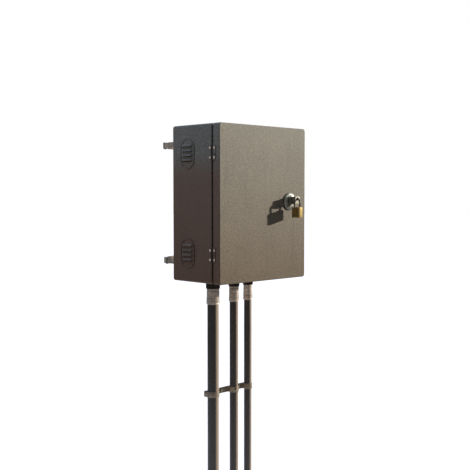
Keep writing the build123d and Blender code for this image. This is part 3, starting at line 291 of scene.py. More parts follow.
# ---------------- materials
class Graph:
    """The node tree of a material or of the world."""

    def __init__(self, owner: bpy.types.Material | bpy.types.World) -> None:
        """Start from an empty tree.

        Args:
            owner: the material or world.
        """
        owner.use_nodes = True
        self.tree = owner.node_tree
        self.tree.nodes.clear()

    def add(self, kind: str, inputs: dict | Sequence = (), **settings: object) -> Node:
        """Add a node.

        Args:
            kind: the node's type, without its ShaderNode prefix.
            inputs: by name, or in order: a value, a hex colour, a socket, or a node, which
                gives its first output.
            settings: the node's own properties.

        Returns:
            The new node.
        """
        node = self.tree.nodes.new("ShaderNode" + kind)
        for key, value in settings.items():
            setattr(node, key, value)
        for key, value in inputs.items() if isinstance(inputs, dict) else enumerate(inputs):
            source = value.outputs[0] if isinstance(value, Node) else value
            if isinstance(source, Socket):
                self.tree.links.new(source, node.inputs[key])
            else:
                node.inputs[key].default_value = linear(value) if isinstance(value, str) else value
        return node

    def lay(self, under: Node | str, over: str, by: Node | Socket, *limits: float) -> Node:
        """Lay a colour over another by a value's limits: start, end, and the cover at each."""
        return self.add("MixRGB", [self.add("MapRange", [by, *limits]), under, over])

    def shade_corners(self, under: Node, dirt_and_shade: str, reach: float, *limits: float) -> Node:
        """Paint shade into corners: the colour darkens where less of the sky is open within its
        reach.
        """
        nook = self.add("AmbientOcclusion", {"Distance": reach * MM}, samples=6)
        return self.lay(under, dirt_and_shade, nook.outputs["AO"], *limits)

    def drawn(self, at: Socket, lengths: Point, detail: float) -> Node:
        """Noise drawn out to these lengths along x, y and z, in millimetres."""
        way = self.add("Mapping", {"Vector": at, "Scale": [per(size) for size in lengths]})
        return self.add("TexNoise", {"Vector": way, "Scale": 1.0, "Detail": detail})


@dataclass(frozen=True)
class Finish:
    """How one material of the enclosure looks. Each kind fills in `shade`."""

    name: str
    slot: str                # the record's material slot

    def shade(self, g: Graph, at: Socket) -> dict:
        """Add the finish's nodes, and give the Principled shader's inputs."""
        raise NotImplementedError

    def material(self) -> bpy.types.Material:
        """Make the finish's material the first time that it is asked for.

        Returns:
            The material.
        """
        made = bpy.data.materials.get(self.name)
        if not made:
            made = bpy.data.materials.new(self.name)
            g = Graph(made)
            skin = g.add("BsdfPrincipled", self.shade(g, g.add("TexCoord").outputs["Object"]))
            g.add("OutputMaterial", [skin])
        return made

    def coat(self, mesh: bpy.types.Mesh) -> None:
        """Make the finish a mesh's only material."""
        mesh.materials.clear()
        mesh.materials.append(self.material())


@dataclass(frozen=True)
class PowderCoat(Finish):
    """Polyester powder coat on sheet steel: satin, with a coarse sprayed texture.

    It gives the eye a soft, mottled grey that is browner and darker towards the bottom, pale
    dust on its ledges, faint rain streaks, steel at the few places where an edge is chipped,
    painted warm bounce light low on the left wall, and painted shade in corners and gaps.
    """

    upper: str = "#A09A8A"
    lower: str = "#7E6D58"
    bounce_tint: str = "#8C6247"  # painted warm bounce light from the timber pole, low on the left wall
    dust: str = "#A0978A"
    streak: str = "#5E564C"
    chip: str = "#6A5848"
    # painted shade, laid in corners, gaps and under the vent hoods
    dirt_and_shade: str = "#100E0D"
    gap_shade_colour: str = "#14110F"
    mottle: float = 0.44     # how far a speck is lighter or darker than the coat
    grit: float = 1.4        # coating's texture
    speck: float = 4.6       # drawn coarser than the real 1.5 mm, so that it shows
    peel: float = 9.0        # slow waves left where the powder flowed
    knock: float = 14.0      # spacing of the places where something has struck it
    edge: float = 1.6        # how far from an edge it chips
    run: Point = (16.0, 16.0, 260.0)  # width and length of a rain streak
    cloud: float = 110.0     # size of the patches where the coat is lighter or darker
    corner: float = 12.0     # how far the painted shade reaches out of a corner
    reach: Point = (-230.0, 310.0)    # heights between which the colours meet
    painted_bounce: Point = (165.0, 85.0)      # heights between which the painted bounce light starts
    sheen: float = 0.3       # specular level: chalked by the weather
    gap_shade: float = 0.0       # how dark the painted shade of the hinge gap is round a knuckle
    knuckle: Point = (-306.85, 2.1, 3.4)  # its y, and where the painted gap shade starts and ends

    def shade(self, g: Graph, at: Socket) -> dict:
        """Grade by height and speckle the colour, add dust, streaks, chips, painted bounce and
        shade.

        Args:
            g: the material's tree.
            at: the Object coordinates, in metres.

        Returns:
            Inputs of the Principled shader.
        """
        place = g.add("SeparateXYZ", [at])
        height = place.outputs["Z"]
        normal = g.add("NewGeometry").outputs["Normal"]
        looks = g.add("SeparateXYZ", [normal])
        cloud, speck, grit, peel, knocks = (
            g.add("TexNoise", {"Vector": at, "Scale": per(size), "Detail": detail,
                               "Roughness": rough})
            for size, detail, rough in (
                (self.cloud, 3.0, 0.5), (self.speck, 3.0, 0.6), (self.grit, 2.0, 0.5),
                (self.peel, 1.0, 0.5), (self.knock, 5.0, 0.5)))
        rain = g.drawn(at, self.run, 4.0)
        coat = g.lay(self.lower, self.upper, height, *(z * MM for z in self.reach))
        tone = g.add("MapRange", [cloud, *NOISE, 0.93, 1.07])
        fleck = g.add("MapRange", [speck, *NOISE, 1 - self.mottle, 1 + self.mottle])
        both = g.add("Math", [tone, fleck], operation="MULTIPLY")
        toned = g.add("VectorMath", {0: coat, "Scale": both}, operation="SCALE")
        streaked = g.lay(toned, self.streak, rain, 0.55, 0.8, 0.0, 0.35)
        # painted warm bounce light, growing downwards on faces that look towards -X
        bounce_fade = g.add("MapRange", [height, *(z * MM for z in self.painted_bounce), 0.0, 0.62])
        leftward = g.add("MapRange", [looks.outputs["X"], -0.4, -0.95])
        painted_bounce = g.add("Math", [bounce_fade, leftward], operation="MULTIPLY")
        bounce_lit = g.add("MixRGB", [painted_bounce, streaked, self.bounce_tint])
        lies = g.add("MapRange", [looks.outputs["Z"], 0.3, 0.95, 0.0, 1.2])
        laid = g.add("Math", [lies, cloud], operation="MULTIPLY", use_clamp=True)
        dusted = g.add("MixRGB", [laid, bounce_lit, self.dust])
        rounded = g.add("Bevel", {"Radius": self.edge * MM}, samples=4)
        meet = g.add("VectorMath", [rounded, normal], operation="DOT_PRODUCT").outputs["Value"]
        edge = g.add("MapRange", [meet, 0.985, 0.93])
        sparse = g.add("MapRange", [knocks, 0.6, 0.66, 0.0, 0.85])
        chipped = g.add("Math", [edge, sparse], operation="MULTIPLY")
        worn = g.add("MixRGB", [chipped, dusted, self.chip])
        # painted shade: darker where corners and gaps hide the sky
        colour = g.shade_corners(worn, self.dirt_and_shade, self.corner, 0.72, 0.42, 0.0, 0.95)
        # painted shade of the hinge gap, darkening the leaves round the knuckle
        if self.gap_shade:
            centre, start, end = (v * MM for v in self.knuckle)
            off = g.add("Math", [place.outputs["Y"], -centre], operation="ADD")
            away = g.add("Math", [off], operation="ABSOLUTE")
            colour = g.lay(colour, self.gap_shade_colour, away, end, start, 0.0, self.gap_shade)
        soft = g.add("Bump", {"Strength": 0.25, "Distance": 0.35 * MM, "Height": peel})
        fine = g.add("Bump", {"Strength": 0.5, "Distance": 0.22 * MM, "Height": grit,
                              "Normal": soft})
        return {"Base Color": colour, "Roughness": g.add("MapRange", [speck, *NOISE, 0.52, 0.68]),
                "Normal": fine, "IOR": 1.48, "Specular IOR Level": self.sheen}


@dataclass(frozen=True)
class MetalFinish(Finish):
    """Bare or plated metal with drawn lines, cloudy tarnish and specks of corrosion.

    Bright parts mirror what is round them, tarnish dulls and darkens in clouds, and specks
    show as small matt dots.
    """

    bright: str
    dull: str
    speck: str
    smooth: float
    rough: float
    cloud: float             # size of the tarnish's clouds
    dots: float              # spacing of the specks
    dot_share: float         # how much of that spacing a speck takes
    metal: float = 1.0
    lines: Point = (1.2, 1.2, 1.2)   # how far a drawn line runs along x, y, z
    line_depth: float = 0.03
    sheen: float = 0.5       # specular level of what isn't bare metal
    creosote_and_pole_shade: float = 0.0    # how dark the side that hugs the pole is: timber preservative, and painted shade of the pole
    tar_and_shade: str = "#2B2019"
    groove_shade: float = 0.0       # how dark the painted shade in its grooves is
    dirt_and_shade: str = "#1C1713"
    groove: float = 3.0      # how far that painted shade reaches

    def shade(self, g: Graph, at: Socket) -> dict:
        """Mix bright and dull metal by clouds, with specks and lines on top.

        Args:
            g: the material's tree.
            at: the Object coordinates, in metres.

        Returns:
            Inputs of the Principled shader.
        """
        cloud = g.add("TexNoise", {"Vector": at, "Scale": per(self.cloud), "Detail": 5.0,
                                   "Roughness": 0.6})
        cells = g.add("TexVoronoi", {"Vector": at, "Scale": per(self.dots)})
        worn = g.add("MapRange", [cloud, 0.35, 0.68])
        base = g.add("MixRGB", [worn, self.bright, self.dull])
        spots = g.add("MapRange", [cells, self.dot_share * 1.6, self.dot_share, 0.0, 0.8])
        pick = g.add("MapRange", [cloud, 0.45, 0.55])
        speck = g.add("Math", [spots, pick], operation="MULTIPLY")
        colour = g.add("MixRGB", [speck, base, self.speck])
        # painted shade in grooves and hollows, where less of the sky is open
        if self.groove_shade:
            colour = g.shade_corners(colour, self.dirt_and_shade, self.groove, 0.85, 0.45, 0.0, self.groove_shade)
        # timber preservative and painted shade of the pole, on the side that faces its axis
        if self.creosote_and_pole_shade:
            radial = g.add("VectorMath", [at, (1.0, 1.0, 0.0)], operation="MULTIPLY")
            normal = g.add("NewGeometry").outputs["Normal"]
            outward = g.add("VectorMath", [normal, radial], operation="DOT_PRODUCT")
            colour = g.lay(colour, self.tar_and_shade, outward.outputs["Value"], -0.01, -0.05, 0.0,
                           self.creosote_and_pole_shade)
        gloss = g.add("MapRange", [worn, 0.0, 1.0, self.smooth, self.rough])
        rough = g.add("Math", [speck, 0.35, gloss], operation="MULTIPLY_ADD")
        lines = g.add("Bump", {"Strength": 0.5, "Distance": self.line_depth * MM,
                               "Height": g.drawn(at, self.lines, 3.0)})
        pits = g.add("Bump", {"Strength": 0.4, "Distance": 0.1 * MM, "Height": speck,
                              "Normal": lines})
        return {"Base Color": colour, "Metallic": self.metal, "Roughness": rough, "Normal": pits,
                "Specular IOR Level": self.sheen}


@dataclass(frozen=True)
class Galvanised(Finish):
    """Hot-dipped galvanised steel: zinc crystals a few millimetres across under a dull bloom.

    It gives the eye patches of slightly different grey that catch the light in turn, and
    brownish road dirt that has settled on them.
    """

    crystal: float = 7.0
    soiling: float = 0.4
    light: str = "#AEB0AE"
    dark: str = "#84878A"
    dirt_and_shade: str = "#75695C"
    warp: float = 5.0        # spacing of the bends in a crystal's edge
    bend: float = 2.5        # how far they go
    bloom: float = 30.0      # size of a cloud of bloom

    def shade(self, g: Graph, at: Socket) -> dict:
        """Shade each crystal by its own value, and lay bloom and dirt over them.

        Args:
            g: the material's tree.
            at: the Object coordinates, in metres.

        Returns:
            Inputs of the Principled shader.
        """
        warp = g.add("TexNoise", {"Vector": at, "Scale": per(self.warp), "Detail": 2.0})
        shift = g.add("VectorMath", {0: warp.outputs["Color"], "Scale": self.bend * MM},
                      operation="SCALE")
        bent = g.add("VectorMath", [at, shift], operation="ADD")
        cells = g.add("TexVoronoi", {"Vector": bent, "Scale": per(self.crystal)})
        value = g.add("SeparateColor", [cells.outputs["Color"]])
        bloom = g.add("TexNoise", {"Vector": at, "Scale": per(self.bloom), "Detail": 6.0,
                                   "Roughness": 0.65})
        soiled = g.add("MapRange", [bloom, 0.42, 0.66, 0.0, self.soiling])
        base = g.add("MixRGB", [value, self.dark, self.light])
        colour = g.add("MixRGB", [soiled, base, self.dirt_and_shade])
        gloss = g.add("MapRange", [value, 0.0, 1.0, 0.38, 0.58])
        rough = g.add("Math", [soiled, 0.3, gloss], operation="MULTIPLY_ADD")
        metal = g.add("MapRange", [soiled, 0.0, 1.0, 0.9, 0.25])
        ridges = g.add("Bump", {"Strength": 0.3, "Distance": 0.08 * MM, "Height": cells})
        return {"Base Color": colour, "Metallic": metal, "Roughness": rough, "Normal": ridges}


@dataclass(frozen=True)
class PlasticFinish(Finish):
    """Moulded or extruded plastic with a fine grain, scuffs and a film of dust.

    The grain breaks its highlight up, scuffs are paler and duller, and dust warms the colour.
    """

    body: str
    scuff: str
    dust: str
    film: float              # most that the dust covers
    rough: float
    grain: Point             # how far a grain runs along x, y, z
    depth: float
    ior: float = 1.53
    sheen: float = 0.5       # specular level
    sunlight_tint: str = "#A9937C"
    painted_sunlight: float = 0.0       # how far the side towards +X is painted paler, as painted sunlight
    patch: float = 45.0      # size of a patch of dust
    mark: float = 9.0        # and of a scuff

    def shade(self, g: Graph, at: Socket) -> dict:
        """Lay scuffs and dust over the plastic's own colour, and press the grain into it.

        Args:
            g: the material's tree.
            at: the Object coordinates, in metres.

        Returns:
            Inputs of the Principled shader.
        """
        film = g.add("TexNoise", {"Vector": at, "Scale": per(self.patch), "Detail": 5.0,
                                  "Roughness": 0.6})
        laid = g.add("MapRange", [film, 0.35, 0.7, 0.1 * self.film, self.film])
        marks = g.add("TexNoise", {"Vector": at, "Scale": per(self.mark), "Detail": 6.0,
                                   "Distortion": 0.6})
        rubbed = g.add("MapRange", [marks, 0.6, 0.72, 0.0, 0.5])
        worn = g.add("MixRGB", [rubbed, self.body, self.scuff])
        colour = g.add("MixRGB", [laid, worn, self.dust])
        # painted sunlight: the side towards +X is laid paler
        if self.painted_sunlight:
            looks = g.add("SeparateXYZ", [g.add("NewGeometry").outputs["Normal"]]).outputs["X"]
            colour = g.lay(colour, self.sunlight_tint, looks, -0.34, -0.12, 0.0, self.painted_sunlight)
        dulled = g.add("Math", [rubbed, 0.25, self.rough], operation="MULTIPLY_ADD")
        rough = g.add("Math", [laid, 0.5, dulled], operation="MULTIPLY_ADD")
        press = g.add("Bump", {"Strength": 0.5, "Distance": self.depth * MM,
                               "Height": g.drawn(at, self.grain, 2.0)})
        return {"Base Color": colour, "Roughness": rough, "Normal": press, "IOR": self.ior,
                "Specular IOR Level": self.sheen}


POWDER_COAT = PowderCoat("powder_coated_steel", "painted_steel")
GAP_SHADED_COAT = PowderCoat("powder_coated_hinge", "painted_steel", gap_shade=0.92)
GALVANISED = Galvanised("hot_dip_galvanised_steel", "galvanised_steel")
PLATED_CAM = Galvanised("galvanised_plate", "galvanised_steel", crystal=3.0, soiling=0.2)
BAND_STEEL = MetalFinish(
    "rolled_stainless_band", "stainless_band", "#C6BBAE", "#96897B", "#4A3A2D", smooth=0.34,
    rough=0.55, cloud=14.0, dots=2.6, dot_share=0.2, metal=0.6, lines=(40.0, 40.0, 0.5),
    creosote_and_pole_shade=0.9)
STRAP_STEEL = MetalFinish(
    "galvanised_strap", "galvanised_steel", "#B9A68F", "#7E6E5B", "#5A4C3F", smooth=0.38,
    rough=0.6, cloud=8.0, dots=3.0, dot_share=0.2, metal=0.35, lines=(30.0, 30.0, 0.8))
BRIGHT_RIVET = MetalFinish(
    "bright_aluminium_rivet", "zinc_fasteners", "#FFF3E2", "#DFD2C2", "#9A8F82", smooth=0.24,
    rough=0.45, cloud=3.0, dots=1.4, dot_share=0.12, metal=0.7)
ZINC_PLATE = MetalFinish(
    "zinc_plated_steel", "zinc_fasteners", "#B0ACA1", "#7F796C", "#5F4C3B", smooth=0.3,
    rough=0.5, cloud=5.0, dots=1.8, dot_share=0.18, metal=0.8, groove_shade=0.6)
CHROME = MetalFinish(
    "polished_chrome_plate", "chrome", "#9DA099", "#666760", "#45423B", smooth=0.42,
    rough=0.6, cloud=9.0, dots=1.6, dot_share=0.16, metal=0.95, line_depth=0.014)
WORN_CHROME = MetalFinish(
    "worn_chrome_plate", "chrome", "#A8A499", "#5B564C", "#332E28", smooth=0.3,
    rough=0.5, cloud=7.0, dots=1.5, dot_share=0.18, metal=0.9, line_depth=0.02, groove_shade=0.7)
HARDENED = MetalFinish(
    "plated_hardened_steel", "hardened_steel", "#6F6A60", "#433E37", "#2C231B", smooth=0.26,
    rough=0.5, cloud=5.0, dots=1.5, dot_share=0.2, lines=(0.6, 0.6, 18.0))
BRASS = MetalFinish(
    "tarnished_brass", "brass", "#C9AC6B", "#84692F", "#57431F", smooth=0.26,
    rough=0.5, cloud=8.0, dots=1.7, dot_share=0.16, metal=0.6, lines=(0.5, 24.0, 0.5))
CAST_ZINC = MetalFinish(
    "weathered_cast_zinc", "cast_zinc", "#F8E8D8", "#C2B09E", "#4C433B", smooth=0.34,
    rough=0.55, cloud=8.0, dots=1.3, dot_share=0.2, metal=0.4, line_depth=0.06, groove_shade=0.9)
# near black: painted shade under the box's floor, on the connectors' hexagons
DARK_ZINC = MetalFinish(
    "shade_darkened_cast_zinc", "cast_zinc", "#453B34", "#2B2420", "#4F443A", smooth=0.5,
    rough=0.7, cloud=7.0, dots=1.3, dot_share=0.16, metal=0.0, line_depth=0.06, sheen=0.2)
FOAM = PlasticFinish("closed_cell_foam", "rubber_seal", "#232325", "#34343A", "#4A4743",
                     film=0.15, rough=0.8, grain=(1.1, 1.1, 1.1), depth=0.3, ior=1.4)
RUBBER = PlasticFinish("moulded_rubber", "rubber_seal", "#1E1E1F", "#3A3937", "#5A554D",
                       film=0.2, rough=0.65, grain=(0.6, 0.6, 0.6), depth=0.05)
CONDUIT_PVC = PlasticFinish(
    "extruded_conduit", "conduit_plastic", "#26201B", "#352D26", "#574A3C", film=0.1,
    rough=0.48, grain=(2.2, 2.2, 160.0), depth=0.06, sheen=0.6, painted_sunlight=1.0)
GREY_MOULDING = PlasticFinish(
    "grey_polyamide", "grey_moulding", "#A6A8A6", "#BDBDB8", "#8F887C", film=0.14,
    rough=0.46, grain=(0.6, 0.6, 0.6), depth=0.07)
BLACK_MOULDING = PlasticFinish(
    "black_polyamide", "black_moulding", "#1D1D1F", "#3B3B3D", "#5C574F", film=0.14,
    rough=0.4, grain=(0.6, 0.6, 0.6), depth=0.06)
BLUE_MOULDING = PlasticFinish(
    "blue_polypropylene", "bushing_plastic", "#2B4267", "#516585", "#6C6D6C", film=0.14,
    rough=0.42, grain=(0.8, 0.8, 0.8), depth=0.06)


# ---------------- making pieces
def mesh_of(name: str, grids: Sequence[Grid]) -> bpy.types.Mesh:
    """Make a mesh, in metres, of grids in millimetres.

    Args:
        name: the mesh's name.
        grids: its surfaces.

    Returns:
        The mesh, with its seams still open.
    """
    first, points, cells = 0, [], []
    for grid in grids:
        points.append(grid.points.reshape(-1, 3))
        cells.append(grid.quads(first))
        first += len(points[-1])
    mesh = bpy.data.meshes.new(name)
    mesh.from_pydata((np.concatenate(points) * MM).tolist(), [], np.concatenate(cells).tolist())
    return mesh


@contextmanager
def opened(mesh: bpy.types.Mesh) -> Iterator[bmesh.types.BMesh]:
    """Open a mesh for editing, and write it back.

    Args:
        mesh: the mesh.

    Returns:
        The open mesh.
    """
    work = bmesh.new()
    work.from_mesh(mesh)
    yield work
    work.to_mesh(mesh)
    work.free()


def add_object(name: str, data: bpy.types.ID) -> bpy.types.Object:
    """Link a new object into the scene.

    Args:
        name: its name.
        data: its mesh, lamp or camera.

    Returns:
        The object.
    """
    thing = bpy.data.objects.new(name, data)
    bpy.context.scene.collection.objects.link(thing)
    return thing


def set_piece(mesh: bpy.types.Mesh, finish: Finish, body: str, node: str,
              angle: float) -> bpy.types.Object:
    """Make a mesh a piece of the enclosure, smooth but for its sharp edges.

    Args:
        mesh: its shape.
        finish: what it is made of.
        body: the body that it moves with.
        node: the CAD node that it stands for, if any.
        angle: edges sharper than this many degrees stay crisp.

    Returns:
        The piece.
    """
    finish.coat(mesh)
    mesh.shade_smooth()
    mesh.set_sharp_from_angle(angle=math.radians(angle))
    piece = add_object(mesh.name, mesh)
    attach(piece, body)
    if node:
        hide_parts(node)
    LOG.info("piece %s: %d points on %s", piece.name, len(mesh.vertices), body)
    return piece


def build_piece(name: str, grids: Sequence[Grid], finish: Finish, node: str = "",
                body: str = "enclosure", wall: float = 0.0, outward: Point | None = None,
                angle: float = CREASE) -> None:
    """Make one piece out of grids, with seams and poles merged and faces turned outwards.

    Args:
        name: the piece's name.
        grids: its surfaces, in millimetres.
        finish: what it is made of.
        node: the CAD node that it stands for, if any.
        body: the body that it moves with.
        wall: thickness given to an open sheet, behind the surface.
        outward: which way an open sheet faces; None for a closed shell.
        angle: edges sharper than this many degrees stay crisp.
    """
    mesh = mesh_of(name, grids)
    with opened(mesh) as work:
        bmesh.ops.remove_doubles(work, verts=work.verts, dist=0.002 * MM)
        bmesh.ops.dissolve_degenerate(work, edges=work.edges, dist=0.0005 * MM)
        bmesh.ops.recalc_face_normals(work, faces=work.faces)
        if outward and sum(f.calc_area() * f.normal.dot(outward) for f in work.faces) < 0:
            bmesh.ops.reverse_faces(work, faces=work.faces)
    piece = set_piece(mesh, finish, body, node, angle)
    if wall:
        sheet = piece.modifiers.new("wall", "SOLIDIFY")
        sheet.thickness, sheet.offset, sheet.use_even_offset = wall * MM, -1.0, True


def rework(node: str, finish: Finish, width: float, body: str = "enclosure") -> None:
    """Stand a copy with softened edges in for a CAD node.

    The copy's loose triangles are merged, flat runs are made single faces, and the sharp
    edges are bevelled, which leaves every size as it was.

    Args:
        node: the CAD node.
        finish: what the copy is made of.
        width: the bevel's width in millimetres.
        body: the body that it moves with.
    """
    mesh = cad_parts[node].data.copy()
    mesh.name = f"worked_{node}"
    with opened(mesh) as work:
        bmesh.ops.remove_doubles(work, verts=work.verts, dist=0.004 * MM)
        bmesh.ops.dissolve_limit(work, angle_limit=math.radians(0.6), verts=work.verts,
                                 edges=work.edges)
    bevel = set_piece(mesh, finish, body, node, CREASE).modifiers.new("edges", "BEVEL")
    bevel.width, bevel.segments, bevel.limit_method = width * MM, 2, "ANGLE"
    bevel.angle_limit, bevel.harden_normals, bevel.use_clamp_overlap = math.radians(38), True, True


def dress(finish: Finish, *nodes: str) -> None:
    """Give CAD nodes a finish.

    Args:
        finish: what they are made of.
        nodes: their names.
    """
    for node in nodes:
        finish.coat(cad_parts[node].data)
        LOG.info("dressed %s in %s", node, finish.name)


# ---------------- fasteners
@dataclass(frozen=True)
class HexBolt:
    """A hexagon head or nut with chamfered corners, its washer and its threaded shank.

    Heights run from the face that it sits on, towards its own top.
    """

    facing: Facing
    across: float
    height: float
    shank: float
    washer: float = 0.0      # the washer's radius
    washer_thick: float = 0.0
    pitch: float = 1.0
    ease: float = 0.3        # how far inside the flats the chamfer starts
    slope: float = 0.58      # its slope, for 30 degrees

    def head(self, at: Point, open_top: bool = False) -> list[Grid]:
        """The hexagon: a blank chamfered at 30 degrees and cut by six flats, on its washer.

        Args:
            at: the point that it sits on.
            open_top: whether a shank comes out of its top, as from a nut.

        Returns:
            Its surfaces.
        """
        corner, flat, base = over_corners(self.across), self.across / 2, self.washer_thick
        drop = (corner - flat + self.ease) * self.slope
        top = base + self.height
        inner, crown = (self.shank + 0.05, top) if open_top else (0.0, top - 0.12)
        profile = stack((0.0, base), (flat - self.ease, base), (corner, base + drop * 0.8),
                        (corner, top - drop), (flat - self.ease, top),
                        (max(inner + 0.5, 0.4 * flat), top), (inner, crown))
        if open_top:
            profile = stack(profile, (inner, base))
        grids = [turned(self.facing, at, profile, 48, hexagon(self.across))]
        if self.washer:
            ring = soften([(0, 0), (self.washer, 0), (self.washer, base), (0, base)], 0.35)
            grids.append(turned(self.facing, at, ring, 40))
        return grids

    def stud(self, at: Point, start: float, end: float) -> list[Grid]:
        """The threaded shank, chamfered at its free end.

        Args:
            at: the point that its heights are counted from.
            start: where it starts.
            end: where it ends.

        Returns:
            Its surface.
        """
        r, tip = self.shank, end - 0.7 * math.copysign(1, end - start)
        core = upright(r, start, tip, max(12, int(abs(end - start) / self.pitch * 8)))
        profile = stack((0.0, start), core, (r * 0.78, end), (0.0, end))
        cut = thread(r * 0.86, r, self.pitch, *sorted((start, tip)))
        return [turned(self.facing, at, profile, 32, cut)]


def dome(facing: Facing, at: Point, r: float, h: float, foot: float = 0.0) -> Grid:
    """A domed head: radius r cos t and height h sin t over a short straight foot."""
    cap = arc(0, 0, 1, 0, 90, 9) * (r, h - foot) + (0, foot)
    return turned(facing, at, stack((0, 0), (r, 0), cap), 32)


def slotted(facing: Facing, at: Point, r: float, h: float, slot: float) -> Grid:
    """A screw head with a straight slot as deep as it is wide.

    Rows are concentric rings of radius q from the foot to the middle; where the point's
    distance from the slot's middle line is under half its width, it is set down by the depth.

    Args:
        facing: the way that it faces.
        at: the point that it sits on.
        r: its radius.
        h: its height.
        slot: the slot's width.

    Returns:
        Its surface.
    """
    ease, t = 0.35, np.linspace(0.3, np.pi / 2, 4)
    angle = np.linspace(0, TURN, 64, endpoint=False)
    q = np.concatenate([[0, r, r], r - ease * (1 - np.cos(t)), np.linspace(r - 0.4, 0, 14)])
    z = np.concatenate([[0, 0, h - ease], h - ease * (1 - np.sin(t)), np.full(14, h)])[:, None]
    x, y = q[:, None] * np.cos(angle), q[:, None] * np.sin(angle)
    sunk = slot * np.clip((slot / 2 + 0.12 - np.abs(y)) / 0.15, 0, 1) * (z > h / 2)
    return Grid(facing.place(np.stack([x, y, z - sunk], -1), at), wrap_columns=True)


# ---------------- box, door and their hinges
@dataclass
class Cabinet:
    """Folded body and door, the foam gasket and the riveted hinges."""

    rivet_r: float = 3.75
    rivet_h: float = 1.6
    tail_r: float = 2.75
    tail_h: float = 1.2
    rivet_half_pitch: float = 15.0
    leaf: float = 1.6
    sheet: float = 1.9
    gasket_w: float = 12.0
    gasket_t: float = 5.5
    gasket_corner: float = 9.0
    dent: float = 0.22           # share of the gasket's thickness that the lip presses in
    dent_w: float = 1.6

    def build(self) -> None:
        """Dress the sheet metal, and make the rivets and the gasket."""
        dress(POWDER_COAT, "body", "door")
        dress(GAP_SHADED_COAT, *(f"hinge_{h}_{s}_leaf" for h in LEVELS for s in ("body", "door")))
        dress(ZINC_PLATE, "hinge_pins")
        self.rivets("body", "enclosure")
        self.rivets("door", "door")
        self.gasket()

    def rivets(self, part: str, body: str) -> None:
        """Domed heads outside the leaves, and set tails inside the sheet.

        Args:
            part: the CAD node whose left wall they go through.
            body: the body that they move with.
        """
        node, wall = f"hinge_rivets_{part}", span(part)[0][0]
        y, up = middle(node)[1], middle("hinge_upper_body_leaf")[2]
        r, end = self.tail_r, -self.tail_h
        tail = soften([(0, 0), (r, 0), (r, end), (0, end)], 0.6)
        grids = []
        for z in (s * up + t * self.rivet_half_pitch for s in (1, -1) for t in (1, -1)):
            head = (wall - self.leaf, y, z)
            grids += [dome(Facing.LEFT, head, self.rivet_r, self.rivet_h, 0.25),
                      turned(Facing.LEFT, (wall + self.sheet, y, z), tail, 24)]
        build_piece(f"domed_{node}", grids, BRIGHT_RIVET, node, body)

    def gasket(self) -> None:
        """Foam strip round the door: a flat-backed crown, with the dent that the lip leaves.

        Its height at s, from -1 to 1 across it, is the thickness times 1 - |s|^5, times 1 less
        the dent's share of exp(-(d / dent's width)^2), where d is the distance from its middle.
        """
        low, high = span("door_gasket")
        half = self.gasket_w / 2
        (x0, _, z0), (x1, _, z1) = low + half, high - half
        line = soften([(x0, z0), (x1, z0), (x1, z1), (x0, z1)], self.gasket_corner, 9, closed=True)
        s = np.linspace(-1, 1, 15)
        pressed = 1 - self.dent * np.exp(-(s * half / self.dent_w) ** 2)
        crown = self.gasket_t * (1 - np.abs(s) ** 5) * pressed
        strip = carried(np.insert(line, 1, low[1], 1), np.stack([s * half, crown], -1), (0, 1, 0),
                        loop=True)
        build_piece("foam_door_gasket", [strip], FOAM, "door_gasket", "door")


